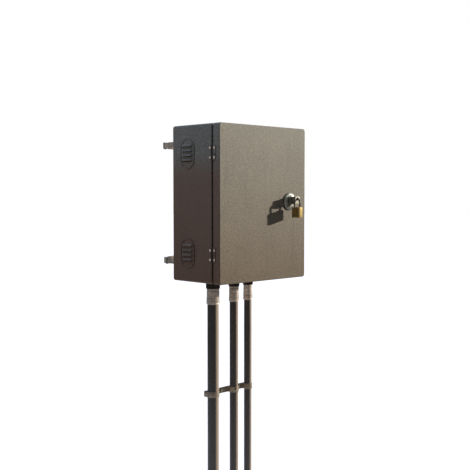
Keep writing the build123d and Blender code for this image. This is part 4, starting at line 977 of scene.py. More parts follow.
# ---------------- vents
@dataclass
class Vents:
    """Oblong pressed vents, rounded at both ends, with four rain hoods each."""

    wide: float = 66.0
    tall: float = 98.0
    rim_w: float = 3.5
    rim_h: float = 3.2
    plate: float = 1.4           # plate's face, outside the wall
    metal: float = 1.2
    collar_in: float = 4.0       # collar, inside the vent's outline
    collar_l: float = 9.0
    pitch: float = 15.5
    up: float = 4.0              # middle of the hoods, above the vent's centre
    hoods: int = 4
    hood_l: float = 48.0
    hood_h: float = 8.5
    hood_d: float = 6.5
    hood_end: float = 4.5        # length over which a hood's end closes

    def build(self) -> None:
        """Make both vents."""
        for which in LEVELS:
            self.vent(which)

    def outline(self, inset: float) -> Array:
        """The oblong, set in all round: half circles above and below a straight middle.

        Args:
            inset: how far inside the vent's edge it runs.

        Returns:
            Points (0, y, z) about the vent's centre, anticlockwise in y and z.
        """
        r, straight = self.wide / 2 - inset, (self.tall - self.wide) / 2
        ends = arc(0, straight, r, 0, 180, 41), arc(0, -straight, r, 180, 360, 41)
        return np.insert(stack(*ends), 0, 0.0, 1)

    def bands(self, inset: float) -> list[Grid]:
        """The plate between one slit and the next, with a hood pressed at the foot of each.

        A point is at height z and at y = t w(z), where w is the oblong's half width there:
        sqrt(r^2 - d^2), with d the height past the straight middle. Its hood stands out by
        the hood's depth times cos(pi/2 (z - slit) / height)^0.75, times an end factor: the
        square root of 1 - (1 - e)^2, where e is the distance in from the hood's end over the
        closing length. Both factors stop at nought.

        Args:
            inset: how far inside the vent's edge the plate ends.

        Returns:
            One grid for each band, from the lowest up.
        """
        r, straight = self.wide / 2 - inset, (self.tall - self.wide) / 2
        middles = self.up + (np.arange(self.hoods) - (self.hoods - 1) / 2) * self.pitch
        edges = [-straight - r, *(middles - self.hood_h / 2), straight + r]
        t, s = np.linspace(-1, 1, 81), np.linspace(0, 1, 16)
        grids = []
        for k, (z0, z1) in enumerate(zip(edges, edges[1:])):
            z = z0 + (z1 - z0) * s ** 2
            if k:
                crown = z0 + self.hood_h
                rest = 1 - (1 - s[1:]) ** 2 if k == self.hoods else s[3::3]
                z = np.concatenate([z0 + self.hood_h * s, crown + (z1 - crown) * rest])
            z = z[:, None]
            y = t * np.sqrt(np.maximum(r ** 2 - np.maximum(np.abs(z) - straight, 0) ** 2, 0.0))
            rise = np.clip((z - z0) / self.hood_h, 0, 1)
            e = np.clip((self.hood_l / 2 - np.abs(y)) / self.hood_end, 0, 1)
            out = self.hood_d * np.cos(np.pi / 2 * rise) ** 0.75 * np.sqrt(1 - (1 - e) ** 2)
            grids.append(Grid(np.stack([-out if k else 0 * y, y, z + 0 * y], -1)))
        return grids

    def vent(self, which: str) -> None:
        """One vent: its hooded plate, its rolled rim and the collar through the wall.

        The rim and the collar are sections carried round the oblong.

        Args:
            which: upper or lower.
        """
        node = f"vent_{which}"
        at = middle(node)
        at[0] = span("body")[0][0]
        face = at - (self.plate - 0.2, 0, 0)
        hooded = [Grid(band.points + face) for band in self.bands(self.rim_w - 0.6)]
        build_piece(f"pressed_{node}", hooded, POWDER_COAT, node, wall=self.metal,
                    outward=(-1, 0, 0))
        half, thin = self.rim_w / 2, self.plate / 2
        rim = stack((-half, 0), (half, 0), arc(half - 1.6, self.rim_h - 1.6, 1.6, 0, 90, 8),
                    arc(-half + 1.2, self.rim_h - 1.2, 1.2, 90, 180, 8))
        collar = soften([(-thin, 0), (thin, 0), (thin, -self.collar_l), (-thin, -self.collar_l)],
                        0.5, closed=True)
        grids = [carried(self.outline(inset) + at, section, (-1, 0, 0), loop=True)
                 for inset, section in ((half, rim), (self.collar_in + thin, collar))]
        build_piece(f"rolled_rim_{which}", grids, POWDER_COAT, angle=50)


# ---------------- latch and padlock
@dataclass
class Latch:
    """Chromed dish and turning staple, with the nut, cam and screw behind the door."""

    dish_r: float = 28.5
    dish_t: float = 7.0
    dome_drop: float = 2.8       # how far the dish falls away towards its rim
    rim_r: float = 2.6
    rim_start: float = 72.0      # angle at which the rim takes over from the dome
    well_d: float = 2.2          # well that the hub turns in
    hub_r: float = 13.0
    barrel_r: float = 11.0
    bore_r: float = 6.08
    thread_pitch: float = 1.5
    thread_d: float = 0.75
    nut_across: float = 30.0
    nut_t: float = 6.0

    def build(self) -> None:
        """Turn the dish and its nut, and soften the staple and cam."""
        x, _, z = middle("latch_base")
        low, high = span("latch_base")
        self.dish((x, low[1] + self.dish_t, z), low[1] + self.dish_t - high[1])
        self.nut((x, span("latch_nut")[0][1], z))
        dress(RUBBER, "latch_seal")
        rework("latch_handle", WORN_CHROME, 0.5, "handle")
        rework("latch_cam", PLATED_CAM, 0.3, "handle")
        rework("latch_cam_screw", ZINC_PLATE, 0.25, "handle")

    def dish(self, at: Point, tail: float) -> None:
        """Domed dish with a rolled rim and a well for the hub, on its threaded barrel.

        Over q, from 0 at the hub to 1 at the rim, the dome falls by its drop times q^1.6.

        Args:
            at: the point on its axis where it meets the door.
            tail: height of the barrel's end, below nought.
        """
        top, floor = self.dish_t, self.dish_t - self.well_d
        slope, rim_x, hub = math.radians(self.rim_start), self.dish_r - self.rim_r, self.hub_r + 0.3
        q = np.linspace(0, 1, 14)
        out = hub + (rim_x + self.rim_r * math.cos(slope) - hub) * q
        face = np.stack([out, top - 0.1 - self.dome_drop * q ** 1.6], -1)
        centre = face[-1, 1] - self.rim_r * math.sin(slope)
        rim = arc(rim_x, centre, self.rim_r, self.rim_start, 0, 9)
        root = tail + 1.2
        profile = stack((self.bore_r, floor), (self.hub_r - 0.4, floor),
                        (self.hub_r - 0.2, top - 0.5), face, rim[1:], (self.dish_r, 0.6),
                        (self.dish_r - 0.5, 0.0), (self.barrel_r, 0.0),
                        upright(self.barrel_r, -2.0, root, 200), (self.barrel_r - 1.1, tail),
                        (self.bore_r, tail))
        cut = thread(self.barrel_r - self.thread_d, self.barrel_r, self.thread_pitch, root, -3.0)

        def barrel_only(r: Array, h: Array, a: Array) -> Array:
            """Thread the barrel, and leave the dish round."""
            return np.where(r < self.barrel_r + 0.01, cut(r, h, a), r)

        base = turned(Facing.FRONT, at, profile, 96, barrel_only, closed=True)
        build_piece("turned_latch_base", [base], CHROME, "latch_base", "door")

    def nut(self, at: Point) -> None:
        """Thin nut that draws the dish to the door: a ring cut by six flats.

        Args:
            at: the point on its axis where it meets the door.
        """
        corner, flat = over_corners(self.nut_across), self.nut_across / 2
        inner = self.barrel_r + 0.1
        profile = stack((inner, 0.0), (flat - 0.2, 0.0), (corner, 0.9), (corner, self.nut_t - 1.3),
                        (flat - 0.4, self.nut_t), (inner + 0.8, self.nut_t),
                        (inner, self.nut_t - 0.8))
        ring = turned(Facing.BACK, at, profile, 96, hexagon(self.nut_across), closed=True)
        build_piece("turned_latch_nut", [ring], ZINC_PLATE, "latch_nut", "door")


@dataclass
class Padlock:
    """Brass padlock: body, plated shackle and key plug."""

    bar_r: float = 3.0
    leg_pitch: float = 24.0
    toe_up: float = 15.5         # how much higher the short leg ends
    tip: float = 1.2             # height over which an end is rounded
    notch_up: float = 4.5        # middle of the locking groove, above the leg's end
    notch_half: float = 1.6
    notch_d: float = 0.2         # the groove's depth, as a share of the bar's radius
    pin_r: float = 1.5
    pin_proud: float = 0.1
    pin_sunk: float = 0.02
    pin_back: Point = (4.2, 9.6)         # pins, behind the body's front face
    pin_side: Point = (5.2, -5.2)        # and to either side of its middle

    def build(self) -> None:
        """Bend the shackle, soften the body and add its pin plugs."""
        self.shackle()
        rework("padlock_body", BRASS, 0.25, "padlock")
        rework("padlock_plug", BRASS, 0.15, "plug")
        self.pin_plugs()

    def shackle(self) -> None:
        """Round bar carried up the long leg, over a half circle and down the short leg.

        The bar's girth follows a quarter circle to nought at each end, and dips by a fifth at
        the locking groove near each end.
        """
        low, high = span("padlock_shackle")
        crown = high[2] - self.bar_r - self.leg_pitch / 2
        heel, toe = high[1] - self.bar_r, low[1] + self.bar_r
        tip = self.tip * np.sin(np.linspace(0, np.pi / 2, 7)) ** 2
        legs = []
        for y, foot in ((heel, low[2]), (toe, low[2] + self.toe_up)):
            up = np.concatenate([foot + tip, np.linspace(foot + 1.3, foot + 7, 18), [crown - 0.4]])
            legs.append(np.stack([0 * up + y, up], -1))
        bend = arc((heel + toe) / 2, crown, self.leg_pitch / 2, 0, 180, 33)
        line = stack(legs[0], bend, legs[1][::-1])
        foot = np.where(np.arange(len(line)) < len(line) / 2, low[2], low[2] + self.toe_up)
        up = line[:, 1] - foot
        round_end = np.sqrt(np.maximum(1 - (1 - np.clip(up / self.tip, 0, 1)) ** 2, 0.02))
        notch = np.clip(1 - np.abs(up - self.notch_up) / self.notch_half, 0, 1)
        girth = round_end * (1 - self.notch_d * notch ** 0.5)
        circle = arc(0, 0, self.bar_r, 0, 360, 29)[:-1]
        bar = carried(np.insert(line, 0, middle("padlock_shackle")[0], 1), circle, (1, 0, 0),
                      girth=girth[:, None, None])
        build_piece("bent_shackle", [bar], HARDENED, "padlock_shackle", "shackle", angle=50)

    def pin_plugs(self) -> None:
        """Small discs in a row under the body that close its pin chambers, just proud."""
        x, (_, y, z) = middle("padlock_body")[0], span("padlock_body")[0]
        z, tall = z + self.pin_sunk, self.pin_proud + self.pin_sunk
        grids = [dome(Facing.DOWN, (x + side, y + back, z), self.pin_r, tall)
                 for back in self.pin_back for side in self.pin_side]
        build_piece("pin_plugs", grids, BRASS, body="padlock")


# ---------------- conduits
@dataclass
class ConduitRun:
    """One plastic conduit, its turned connector and its gland nut."""

    name: str
    wall: float = 2.0
    waver: float = 0.14          # most that the tube's outside is drawn in
    play: float = 0.1
    flange_extra: float = 8.2
    flange_turn: float = 15.0    # how far a hexagon is tightened past square, in degrees
    flange_t: float = 27.5
    ring_t: float = 2.5          # sealing ring between flange and floor
    barrel_extra: float = 2.2
    nipple_extra: float = 2.0
    throat_step: float = 1.0
    grooves: Point = (7.0, 23.0)
    groove_w: float = 2.6
    groove_d: float = 1.4
    gland_extra: float = 3.0
    gland_grooves: Point = (9.0, 15.0)
    flute_w: float = 4.0
    flute_d: float = 0.35

    def __post_init__(self) -> None:
        """Read the conduit's place from the frame."""
        low, high = span(f"conduit_{self.name}")
        self.x, self.y, _ = middle(f"conduit_{self.name}")
        self.r, self.foot, self.seat = (high[0] - low[0]) / 2, low[2], high[2]

    def build(self) -> None:
        """Make the tube, the connector and the gland nut."""
        self.tube()
        self.connector()
        self.gland()

    def throat(self) -> float:
        """Radius of the way through the connector, past the conduit's end."""
        return self.r - self.wall - self.throat_step

    def make(self, name: str, finish: Finish, node: str, angle: float, profile: Array,
             around: int, ripple: Ripple | None = None, closed: bool = True) -> None:
        """Turn one piece about the conduit's axis."""
        solid = turned(Facing.UP, (self.x, self.y, 0.0), profile, around, ripple, closed)
        build_piece(name, [solid], finish, node, angle=angle)

    def tube(self) -> None:
        """Extruded tube: its radius wavers by a slow sum of sines along it and round it."""
        inner, foot = self.r - self.wall, self.foot
        outside = upright(self.r, foot, self.seat, 90)
        outside[0, 1] += 0.5
        profile = stack((inner, self.seat), (inner, foot + 0.6), (inner + 0.5, foot),
                        (self.r - 0.5, foot), outside, (inner, self.seat))

        def waver(r: Array, h: Array, a: Array) -> Array:
            """Draw the outside in by up to the waver, in slow waves."""
            wave = 0.5 + 0.25 * np.sin(h / 61 + self.x) + 0.25 * np.sin(h / 23 + 2 * a + self.r)
            return np.where(r > self.r - 0.4, r - self.waver * wave, r)

        node = f"conduit_{self.name}"
        self.make(f"extruded_{node}", CONDUIT_PVC, node, 40, profile, 64, waver, closed=False)

    def groove(self, r: float, bottom: float) -> Array:
        """Profile of a square-bottomed groove with eased edges.

        Args:
            r: radius that it is turned into.
            bottom: height of its lower edge.

        Returns:
            Rows of radius and height, upwards.
        """
        deep, top = r - self.groove_d, bottom + self.groove_w
        return stack((r, bottom - 0.35), (r - 0.35, bottom), (deep, bottom + 0.25),
                     (deep, top - 0.25), (r - 0.35, top), (r, top + 0.35))

    def connector(self) -> None:
        """Turned connector: a ringed barrel, and its hexagon and nipple, dark with painted shade.
        """
        node, r = f"connector_{self.name}", self.r
        z0, z1 = heights(node)
        flange1 = span("body")[0][2] - self.ring_t
        flange0 = flange1 - self.flange_t
        barrel, bore, throat = r + self.barrel_extra, r + self.play, self.throat()
        across, nipple = 2 * r + self.flange_extra, r + self.nipple_extra
        corner, flat = over_corners(across), across / 2
        body = stack((bore, z0), (barrel - 0.6, z0), (barrel, z0 + 0.6),
                     *(self.groove(barrel, z0 + up) for up in self.grooves),
                     (barrel, flange0 - 0.6), (barrel - 0.4, flange0), (bore, flange0))
        hexed = stack((bore, flange0), (flat - 0.6, flange0), (flat - 0.2, flange0 + 0.2),
                      (corner, flange0 + 1.5), (corner, flange1 - 1.6), (flat - 0.3, flange1),
                      (nipple, flange1), (nipple, z1 - 0.6), (nipple - 0.6, z1), (throat, z1),
                      (throat, self.seat), (bore, self.seat))
        self.make(f"turned_{node}", CAST_ZINC, node, 24, body, 72)
        flats = hexagon(across, self.flange_turn)
        self.make(f"hexagon_{node}", DARK_ZINC, "", 24, hexed, 96, flats)

    def gland(self) -> None:
        """Gland nut: rounded mouth, a fine knurl above it, and two grooves."""
        node, out, bore = f"gland_nut_{self.name}", self.r + self.gland_extra, self.r + self.play
        z0, z1 = heights(node)
        first, flutes = z0 + self.gland_grooves[0], round(TURN * out / self.flute_w)
        profile = stack((bore, z1), (bore, z0 + 0.8), (bore + 0.6, z0),
                        arc(out - 1.6, z0 + 1.6, 1.6, 270, 360, 7),
                        upright(out, z0 + 3.2, first - 1.6, 8),
                        *(self.groove(out, z0 + up) for up in self.gland_grooves),
                        (out, z1 - 0.7), (out - 0.7, z1))

        def knurl(r: Array, h: Array, a: Array) -> Array:
            """Cut n flutes: the radius drops by their depth times (1 - cos(n a)) / 2."""
            inside = (h > z0 + 3.4) & (h < first - 1.8) & (r > out - 0.01)
            return np.where(inside, r - self.flute_d * (1 - np.cos(flutes * a)) / 2, r)

        self.make(f"turned_{node}", CAST_ZINC, node, 30, profile, 8 * flutes, knurl)


@dataclass
class Conduits:
    """Three conduit runs, the bushings inside the box and the strap across the tubes."""

    names: tuple[str, ...] = ("left", "middle", "right")
    strap_w: float = 19.0
    strap_t: float = 2.0
    strap_bend: float = 2.4
    hook: float = 9.0            # fold behind the bar, from the leg's middle
    strap_bolt: float = 10.0     # across its flats
    strap_bolt_r: float = 3.0
    strap_head_t: float = 4.0
    strap_nut_t: float = 5.0
    bar_t: float = 3.0
    bushing_extra: float = 4.6
    cap_t: float = 2.5           # bushing's thickness over the nipple's end

    def build(self) -> None:
        """Make every run, then the bushings and the strap."""
        runs = [ConduitRun(name) for name in self.names]
        for run in runs:
            run.build()
        self.bushings(runs)
        self.strap(runs)
        dress(RUBBER, "entry_rings")
        rework("locknuts", ZINC_PLATE, 0.35)

    def bushings(self, runs: Sequence[ConduitRun]) -> None:
        """Plastic caps on the nipples, with a rounded mouth and grip ribs round the skirt.

        Args:
            runs: the conduits.
        """
        z0, z1 = heights("bushings")

        def ribs(r: Array, h: Array, a: Array) -> Array:
            """Twelve scallops in the skirt: it drops by 0.5 mm times max(0, cos 12a)^4."""
            scallop = 0.5 * np.maximum(0, np.cos(12 * a)) ** 4
            return np.where((r > r.max() - 0.01) & (h < z1 - 1.7), r - scallop, r)

        grids = []
        for run in runs:
            out, inner = run.r + self.bushing_extra, run.r + run.nipple_extra + run.play
            throat = run.throat()
            profile = stack((inner, z0), (out - 0.5, z0), upright(out, z0 + 0.6, z1 - 1.6, 6),
                            arc(out - 1.3, z1 - 1.3, 1.3, 0, 90, 6),
                            arc(throat + 1.2, z1 - 1.2, 1.2, 90, 180, 6),
                            (throat, z1 - self.cap_t), (inner, z1 - self.cap_t))
            grids.append(turned(Facing.UP, (run.x, run.y, 0.0), profile, 144, ribs, closed=True))
        build_piece("moulded_bushings", grids, BLUE_MOULDING, "bushings")

    def strap_line(self, runs: Sequence[ConduitRun], y0: float, y1: float) -> Array:
        """The strap's middle line, seen from above.

        It starts in a fold behind the bar, turns up a leg, and rounds each conduit by a half
        circle, with a small bend on either side of the straight between two conduits.

        Args:
            runs: the conduits.
            y0: middle of the strap's metal between the conduits.
            y1: middle of its metal behind the bar.

        Returns:
            Points (x, y).
        """
        b, first, last = self.strap_bend, runs[0], runs[-1]
        off = first.play + self.strap_t / 2
        start, end = first.x - first.r - off, last.x + last.r + off
        parts = [soften([(start + self.hook, y1), (start, y1), (start, first.y)], b, 7)[:-1]]
        for run in runs:
            big = run.r + off
            if run is not first:
                parts.append(arc(run.x - big - b, y0 - b, b, 90, 0, 6))
            parts.append(arc(run.x, run.y, big, 180, 360, 33))
            if run is not last:
                parts.append(arc(run.x + big + b, y0 - b, b, 180, 90, 6))
        return stack(*parts, soften([(end, last.y), (end, y1), (end - self.hook, y1)], b, 7)[1:])

    def strap(self, runs: Sequence[ConduitRun]) -> None:
        """Strap pressed over the conduits and hooked round its bar, and the two bolts.

        Args:
            runs: the conduits.
        """
        mid_z, behind = middle("conduit_strap")[2], span("conduit_strap")[1][1]
        bar_low, bar_high = span("conduit_strap_bar")
        back = bar_low[1] - 0.1
        line = self.strap_line(runs, back - self.strap_t / 2, behind - self.strap_t / 2)
        along = np.linspace(bar_low[0], bar_high[0], 24)
        bar = np.insert(along[:, None], 1, middle("conduit_strap_bar")[1], 1)
        for name, path, node, section in (
                ("pressed_strap", line, "conduit_strap", (self.strap_t, self.strap_w, 0.5)),
                ("strap_back_bar", bar, "conduit_strap_bar", (self.bar_t, self.strap_w, 0.6))):
            strip = carried(np.insert(path, 2, mid_z, 1), strip_section(*section), (0, 0, 1))
            build_piece(name, [strip], STRAP_STEEL, node)
        bolt_low, bolt_high = span("conduit_strap_bolts")
        corner, front = over_corners(self.strap_bolt), bar_high[1]
        head = HexBolt(Facing.FRONT, self.strap_bolt, self.strap_head_t, self.strap_bolt_r)
        nut = HexBolt(Facing.BACK, self.strap_bolt, self.strap_nut_t, self.strap_bolt_r)
        grids = []
        for x in (bolt_low[0] + corner, bolt_high[0] - corner):
            grids += head.head((x, back - self.strap_t, mid_z))
            grids += nut.head((x, front, mid_z), open_top=True)
            grids += nut.stud((x, front, mid_z), 0.0, bolt_high[1] - front)
        build_piece("strap_bolts", grids, ZINC_PLATE, "conduit_strap_bolts", angle=25)


# ---------------- pole mounting
@dataclass
class PoleMount:
    """Two brackets with their bolts, and the steel bands with their buckles."""

    pole_r: float = 101.6
    band_w: float = 19.0
    band_t: float = 1.0
    corner_x: float = 65.0
    buckle_at: Point = (135.0, 156.0)    # where the upper and lower clips are, in degrees
    buckle_l: float = 28.0
    buckle_tall: float = 23.4
    buckle_h: float = 10.0
    buckle_t: float = 1.6
    buckle_bend: float = 3.6
    band_bend: float = 3.0
    ear_gap: float = 0.5
    tail_rise: float = 6.2       # how far the tail climbs, to lie under the clip's ears
    tail_arc: Point = (26.0, -9.0)       # where the tail starts and ends, past the clip
    tail_climb: Point = (22.0, 14.0)     # where it starts to climb, and over how many degrees
    bolt_across: float = 13.0
    bolt_r: float = 4.0
    washer_r: float = 8.5
    washer_t: float = 1.5
    head_t: float = 5.3
    nut_t: float = 6.4
    bolt_x: float = 95.0

    def build(self) -> None:
        """Make both bands and buckles, and every bracket bolt."""
        for which, turn in zip(LEVELS, self.buckle_at):
            dress(GALVANISED, f"pole_bracket_{which}")
            self.band(which)
            self.buckle(which, turn)
        self.bolts()

    def strip(self) -> Array:
        """Section of the band."""
        return strip_section(self.band_t, self.band_w, 0.3)

    def band(self, which: str) -> None:
        """Band round the pole: an arc, and straight runs to two corners behind the bracket.

        Args:
            which: upper or lower.
        """
        node = f"pole_band_{which}"
        half = self.band_t / 2
        r, px, py = self.pole_r + half, self.corner_x + half, span(node)[0][1] + half
        lean = math.degrees(math.atan2(py, px) + math.acos(r / math.hypot(px, py)))
        wrap = arc(0, 0, r, lean, 180 - lean, 121)
        back = soften([wrap[-1], (-px, py), (px, py), wrap[0]], self.band_bend, 7)
        path = np.insert(stack(wrap, back[1:-1]), 2, middle(node)[2], 1)
        loop = carried(path, self.strip(), (0, 0, 1), loop=True)
        build_piece(f"rolled_{node}", [loop], BAND_STEEL, node)

    def buckle(self, which: str, turn: float) -> None:
        """Clip folded round the band, and the band's tail drawn through it.

        The clip is a strip carried round a C in the plane of the pole's radius and axis. The
        tail follows the pole at a radius that climbs from the band by a smooth step.

        Args:
            which: upper or lower.
            turn: where the clip is, in degrees from +X.
        """
        node = f"band_buckle_{which}"
        mid_z, half = middle(node)[2], self.buckle_t / 2
        cos, sin = math.cos(math.radians(turn)), math.sin(math.radians(turn))
        inner = self.pole_r + self.band_t + half + 0.1
        outer = self.pole_r + self.band_t + self.buckle_h - half
        up, lip = self.buckle_tall / 2 - half, self.ear_gap / 2 + 0.2
        c = soften([(outer, lip), (outer, up), (inner, up), (inner, -up), (outer, -up),
                    (outer, -lip)], self.buckle_bend, 9)
        path = c @ np.array([[cos, sin, 0], [0, 0, 1]]) + (0, 0, mid_z)
        clip = carried(path, strip_section(self.buckle_t, self.buckle_l, 0.5), (-sin, cos, 0))
        a = np.linspace(*(turn + off for off in self.tail_arc), 60)
        s = np.clip((turn + self.tail_climb[0] - a) / self.tail_climb[1], 0, 1)
        r = self.pole_r + 1.5 * self.band_t + 0.1 + self.tail_rise * s * s * (3 - 2 * s)
        line = np.stack([r * np.cos(np.radians(a)), r * np.sin(np.radians(a))], -1)
        tail = carried(np.insert(line, 2, mid_z, 1), self.strip(), (0, 0, 1))
        build_piece(f"folded_{node}", [clip, tail], BAND_STEEL, node)

    def bolts(self) -> None:
        """Heads on washers inside the back wall, nuts and threaded ends behind the brackets."""
        low, high = span("bracket_bolts")
        wall_in, seat = low[1] + self.head_t + self.washer_t, span("bracket_nuts")[0][1]
        shared = self.bolt_r, self.washer_r, self.washer_t
        head = HexBolt(Facing.FRONT, self.bolt_across, self.head_t, *shared)
        nut = HexBolt(Facing.BACK, self.bolt_across, self.nut_t, *shared, pitch=1.25)
        bolts, nuts = [], []
        for x in (self.bolt_x, -self.bolt_x):
            for z in (middle(f"pole_band_{which}")[2] for which in LEVELS):
                bolts += head.head((x, wall_in, z)) + nut.stud((x, seat, z), -5.0, high[1] - seat)
                nuts += nut.head((x, seat, z), open_top=True)
        build_piece("turned_bracket_bolts", bolts, ZINC_PLATE, "bracket_bolts", angle=25)
        build_piece("turned_bracket_nuts", nuts, ZINC_PLATE, "bracket_nuts", angle=25)


# ---------------- inside the box
@dataclass
class Fittings:
    """Mounting panel, rail, breakers, terminals and earth bar."""

    breakers: tuple[tuple[str, int], ...] = (("main", 2), ("left", 1), ("right", 1))
    pole: float = 17.8
    nose: float = 18.0           # from a breaker's foremost point back to its wells' mouths
    well_in: float = 9.0
    well_d: float = 6.0
    screw: Point = (2.9, 1.8, 0.8)       # a breaker's screw: radius, height and slot
    terminals: int = 6
    terminal_w: float = 8.0
    terminal_gap: float = 0.3
    terminal_screw: Point = (2.1, 1.5, 0.6)

    def build(self) -> None:
        """Dress and soften every fitting, and set its screws."""
        dress(GALVANISED, "back_panel", "din_rail")
        dress(ZINC_PLATE, "panel_studs", "panel_nuts", "din_rail_screws", "ground_bar_screws")
        rework("ground_bar", BRASS, 0.3)
        rework("terminal_blocks", GREY_MOULDING, 0.3)
        for name, _ in self.breakers:
            rework(f"breaker_{name}", GREY_MOULDING, 0.35)
            rework(f"breaker_{name}_lever", BLACK_MOULDING, 0.35, f"lever_{name}")
        self.screws()

    def screws(self) -> None:
        """Slotted screws down the wells of the breakers and terminals."""
        grids = []
        for name, poles in self.breakers:
            (_, front, z0), (_, _, z1) = span(f"breaker_{name}")
            for k in range(poles):
                x = middle(f"breaker_{name}")[0] + (k - (poles - 1) / 2) * self.pole
                for z in (z0 + self.well_in, z1 - self.well_in):
                    at = (x, front + self.nose + self.well_d - 0.1, z)
                    grids.append(slotted(Facing.FRONT, at, *self.screw))
        (left, front, z0), (_, _, z1) = span("terminal_blocks")
        for k in range(self.terminals):
            x = left + (self.terminal_w - self.terminal_gap) / 2 + k * self.terminal_w
            for z in (z0 * 0.75 + z1 * 0.25, z0 * 0.25 + z1 * 0.75):
                at = (x, front + self.well_d - 0.1, z)
                grids.append(slotted(Facing.FRONT, at, *self.terminal_screw))
        build_piece("well_screws", grids, ZINC_PLATE)


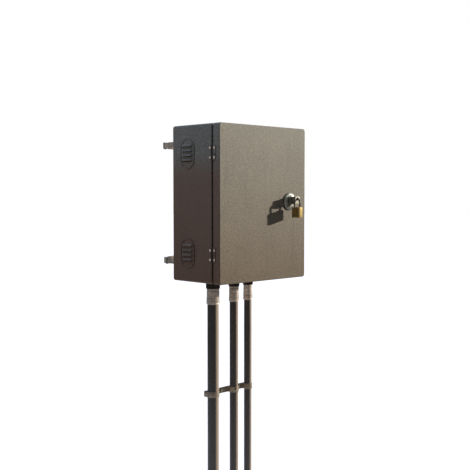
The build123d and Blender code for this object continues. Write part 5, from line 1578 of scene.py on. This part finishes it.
# ---------------- stage, light and camera
@dataclass
class Studio:
    """Floor, lights, background and camera, in metres and degrees."""

    floor_z: float = -0.974
    floor_half: float = 30.0
    floor_shown: str = "#F4F3F0"
    floor_bounce: str = "#A59C90"
    sun: Point = (-0.869, 0.450, -0.209)   # way the key light travels
    sun_power: float = 3.6
    sun_angle: float = 1.8
    sun_colour: Point = (1.0, 0.955, 0.87)
    sky_high: str = "#7890B6"    # cool light from overhead
    sky_low: str = "#716B66"     # warmer and dimmer from the horizon down
    sky_from: Point = (-0.4, 0.917, 0.0)   # brightest side of the horizon
    sky_half: float = 0.5        # how far from that side, as a cosine, the sky fades out
    sky_most: float = 1.6
    flag_r: float = 1.25
    flag_top: float = 1.3
    flag_arc: Point = (25.0, 300.0)        # degrees from +X, through +Y and -X
    flag_low_top: float = 0.25   # its height over the rest of the circle, where the sun comes in
    flag_turn: Point = (-0.58, -0.36)      # heights where it turns from dark to grey
    flag_low: str = "#1C1A19"
    flag_high: str = "#AFADAA"
    eye: Point = (-1.9793, -2.2090, 0.0295)
    lens: float = 63.5           # in millimetres, for a 36 mm sensor
    pitch: float = 2.79
    turn: float = -44.603

    def build(self) -> None:
        """Set the stage."""
        self.floor()
        self.flag()
        self.world()
        self.key()
        self.camera()
        bpy.context.scene.view_settings.view_transform = "Standard"

    def put(self, name: str, grids: Sequence[Grid], finish: str) -> tuple[bpy.types.Object, Graph]:
        """Set a card or floor on the stage.

        Args:
            name: its name.
            grids: its surfaces, in millimetres.
            finish: its material's name.

        Returns:
            The object, and its material's empty tree.
        """
        thing = add_object(name, mesh_of(name, grids))
        thing.data.materials.append(bpy.data.materials.new(finish))
        return thing, Graph(thing.data.materials[0])

    def floor(self) -> None:
        """Pale floor, white to the eye and to reflections but for its shadow, greyer in bounce."""
        x = np.array([[-1, 1], [-1, 1]]) * self.floor_half
        square = np.stack([x, x.T, 0 * x + self.floor_z], -1) / MM
        _, g = self.put("studio_floor", [Grid(square)], "pale_floor")
        glow = g.add("Emission", {"Color": (1, 1, 1, 1), "Strength": 0.74})
        shown = g.add("AddShader", [g.add("BsdfDiffuse", [self.floor_shown]), glow])
        bounce = g.add("BsdfDiffuse", [self.floor_bounce])
        g.add("OutputMaterial", [g.add("MixShader", [self.seen(g), bounce, shown])])

    def flag(self) -> None:
        """Card all round, dark low down and grey above, which only reflections show.

        It is two upright strips of a cylinder about the pole, tall on the left and low where
        the sun comes in: at angle a, the point is (R cos a, R sin a), from the floor to its top.
        """
        start, end = self.flag_arc
        sides = (start, end, self.flag_top), (end, start + 360, self.flag_low_top)
        strips = []
        for first, last, top in sides:
            ring = arc(0, 0, self.flag_r, first, last, 48)
            edges = [np.insert(ring, 2, z, 1) for z in (self.floor_z + 0.02, top)]
            strips.append(Grid(np.stack(edges) / MM))
        card, g = self.put("studio_flag", strips, "glowing_reflection_card")
        height = g.add("SeparateXYZ", [g.add("TexCoord").outputs["Object"]]).outputs["Z"]
        tone = g.lay(self.flag_low, self.flag_high, height, *self.flag_turn)
        # the card glows with this tone: a painted reflection for the metal, which lights nothing
        # else
        g.add("OutputMaterial", [g.add("Emission", {"Color": tone, "Strength": 1.0})])
        for ray in ("camera", "diffuse", "shadow", "transmission"):
            setattr(card, f"visible_{ray}", False)

    def seen(self, g: Graph) -> Node:
        """One for camera, glossy and transmission rays, nought for the rest.

        Args:
            g: the tree that asks.

        Returns:
            The node that tells them apart.
        """
        rays = g.add("LightPath").outputs
        some = g.add("Math", [rays["Is Camera Ray"], rays["Is Glossy Ray"]], operation="MAXIMUM")
        return g.add("Math", [some, rays["Is Transmission Ray"]], operation="MAXIMUM")

    def world(self) -> None:
        """White background, and a dimmer, slightly cool sky for everything that it lights."""
        world = bpy.context.scene.world = bpy.data.worlds.new("studio_world")
        g = Graph(world)
        there = g.add("TexCoord").outputs["Generated"]
        height = g.add("SeparateXYZ", [there]).outputs["Z"]
        tint = g.lay(self.sky_low, self.sky_high, height, -0.1, 0.6)
        side = g.add("VectorMath", [there, self.sky_from], operation="DOT_PRODUCT").outputs["Value"]
        lean = g.add("MapRange", [side, -self.sky_half, self.sky_half, 0.0, self.sky_most])
        white = g.add("Background", {"Color": (1, 1, 1, 1), "Strength": 1.0})
        mix = g.add("MixShader", [self.seen(g), g.add("Background", [tint, lean]), white])
        g.add("OutputWorld", [mix])

    def key(self) -> None:
        """One soft-edged key light from high on the right."""
        lamp = bpy.data.lights.new("key_light", "SUN")
        lamp.energy, lamp.color = self.sun_power, self.sun_colour
        lamp.angle = math.radians(self.sun_angle)
        key = add_object("key_light", lamp)
        key.rotation_euler = Vector(self.sun).to_track_quat("-Z", "Y").to_euler()

    def camera(self) -> None:
        """Camera level with the middle of the box, to the left of its door."""
        data = bpy.data.cameras.new("camera")
        data.lens, data.sensor_width = self.lens, 36.0
        camera = bpy.context.scene.camera = add_object("camera", data)
        camera.location = self.eye
        camera.rotation_euler = (math.radians(90 - self.pitch), 0, math.radians(self.turn))


def corners(box: Sequence[Point]) -> list[list[float]]:
    """A box's two corners as plain lists."""
    return [[float(v) for v in corner] for corner in box]


def main() -> None:
    """Build the enclosure and its stage."""
    logging.basicConfig(level=logging.INFO, format="%(name)s: %(message)s")
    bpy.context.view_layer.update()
    for part in (Cabinet(), Vents(), Latch(), Padlock(), Conduits(), PoleMount(), Fittings(),
                 Studio()):
        part.build()
        LOG.info("built %s", type(part).__name__)
    bpy.context.view_layer.update()


if __name__ == "__main__":
    main()
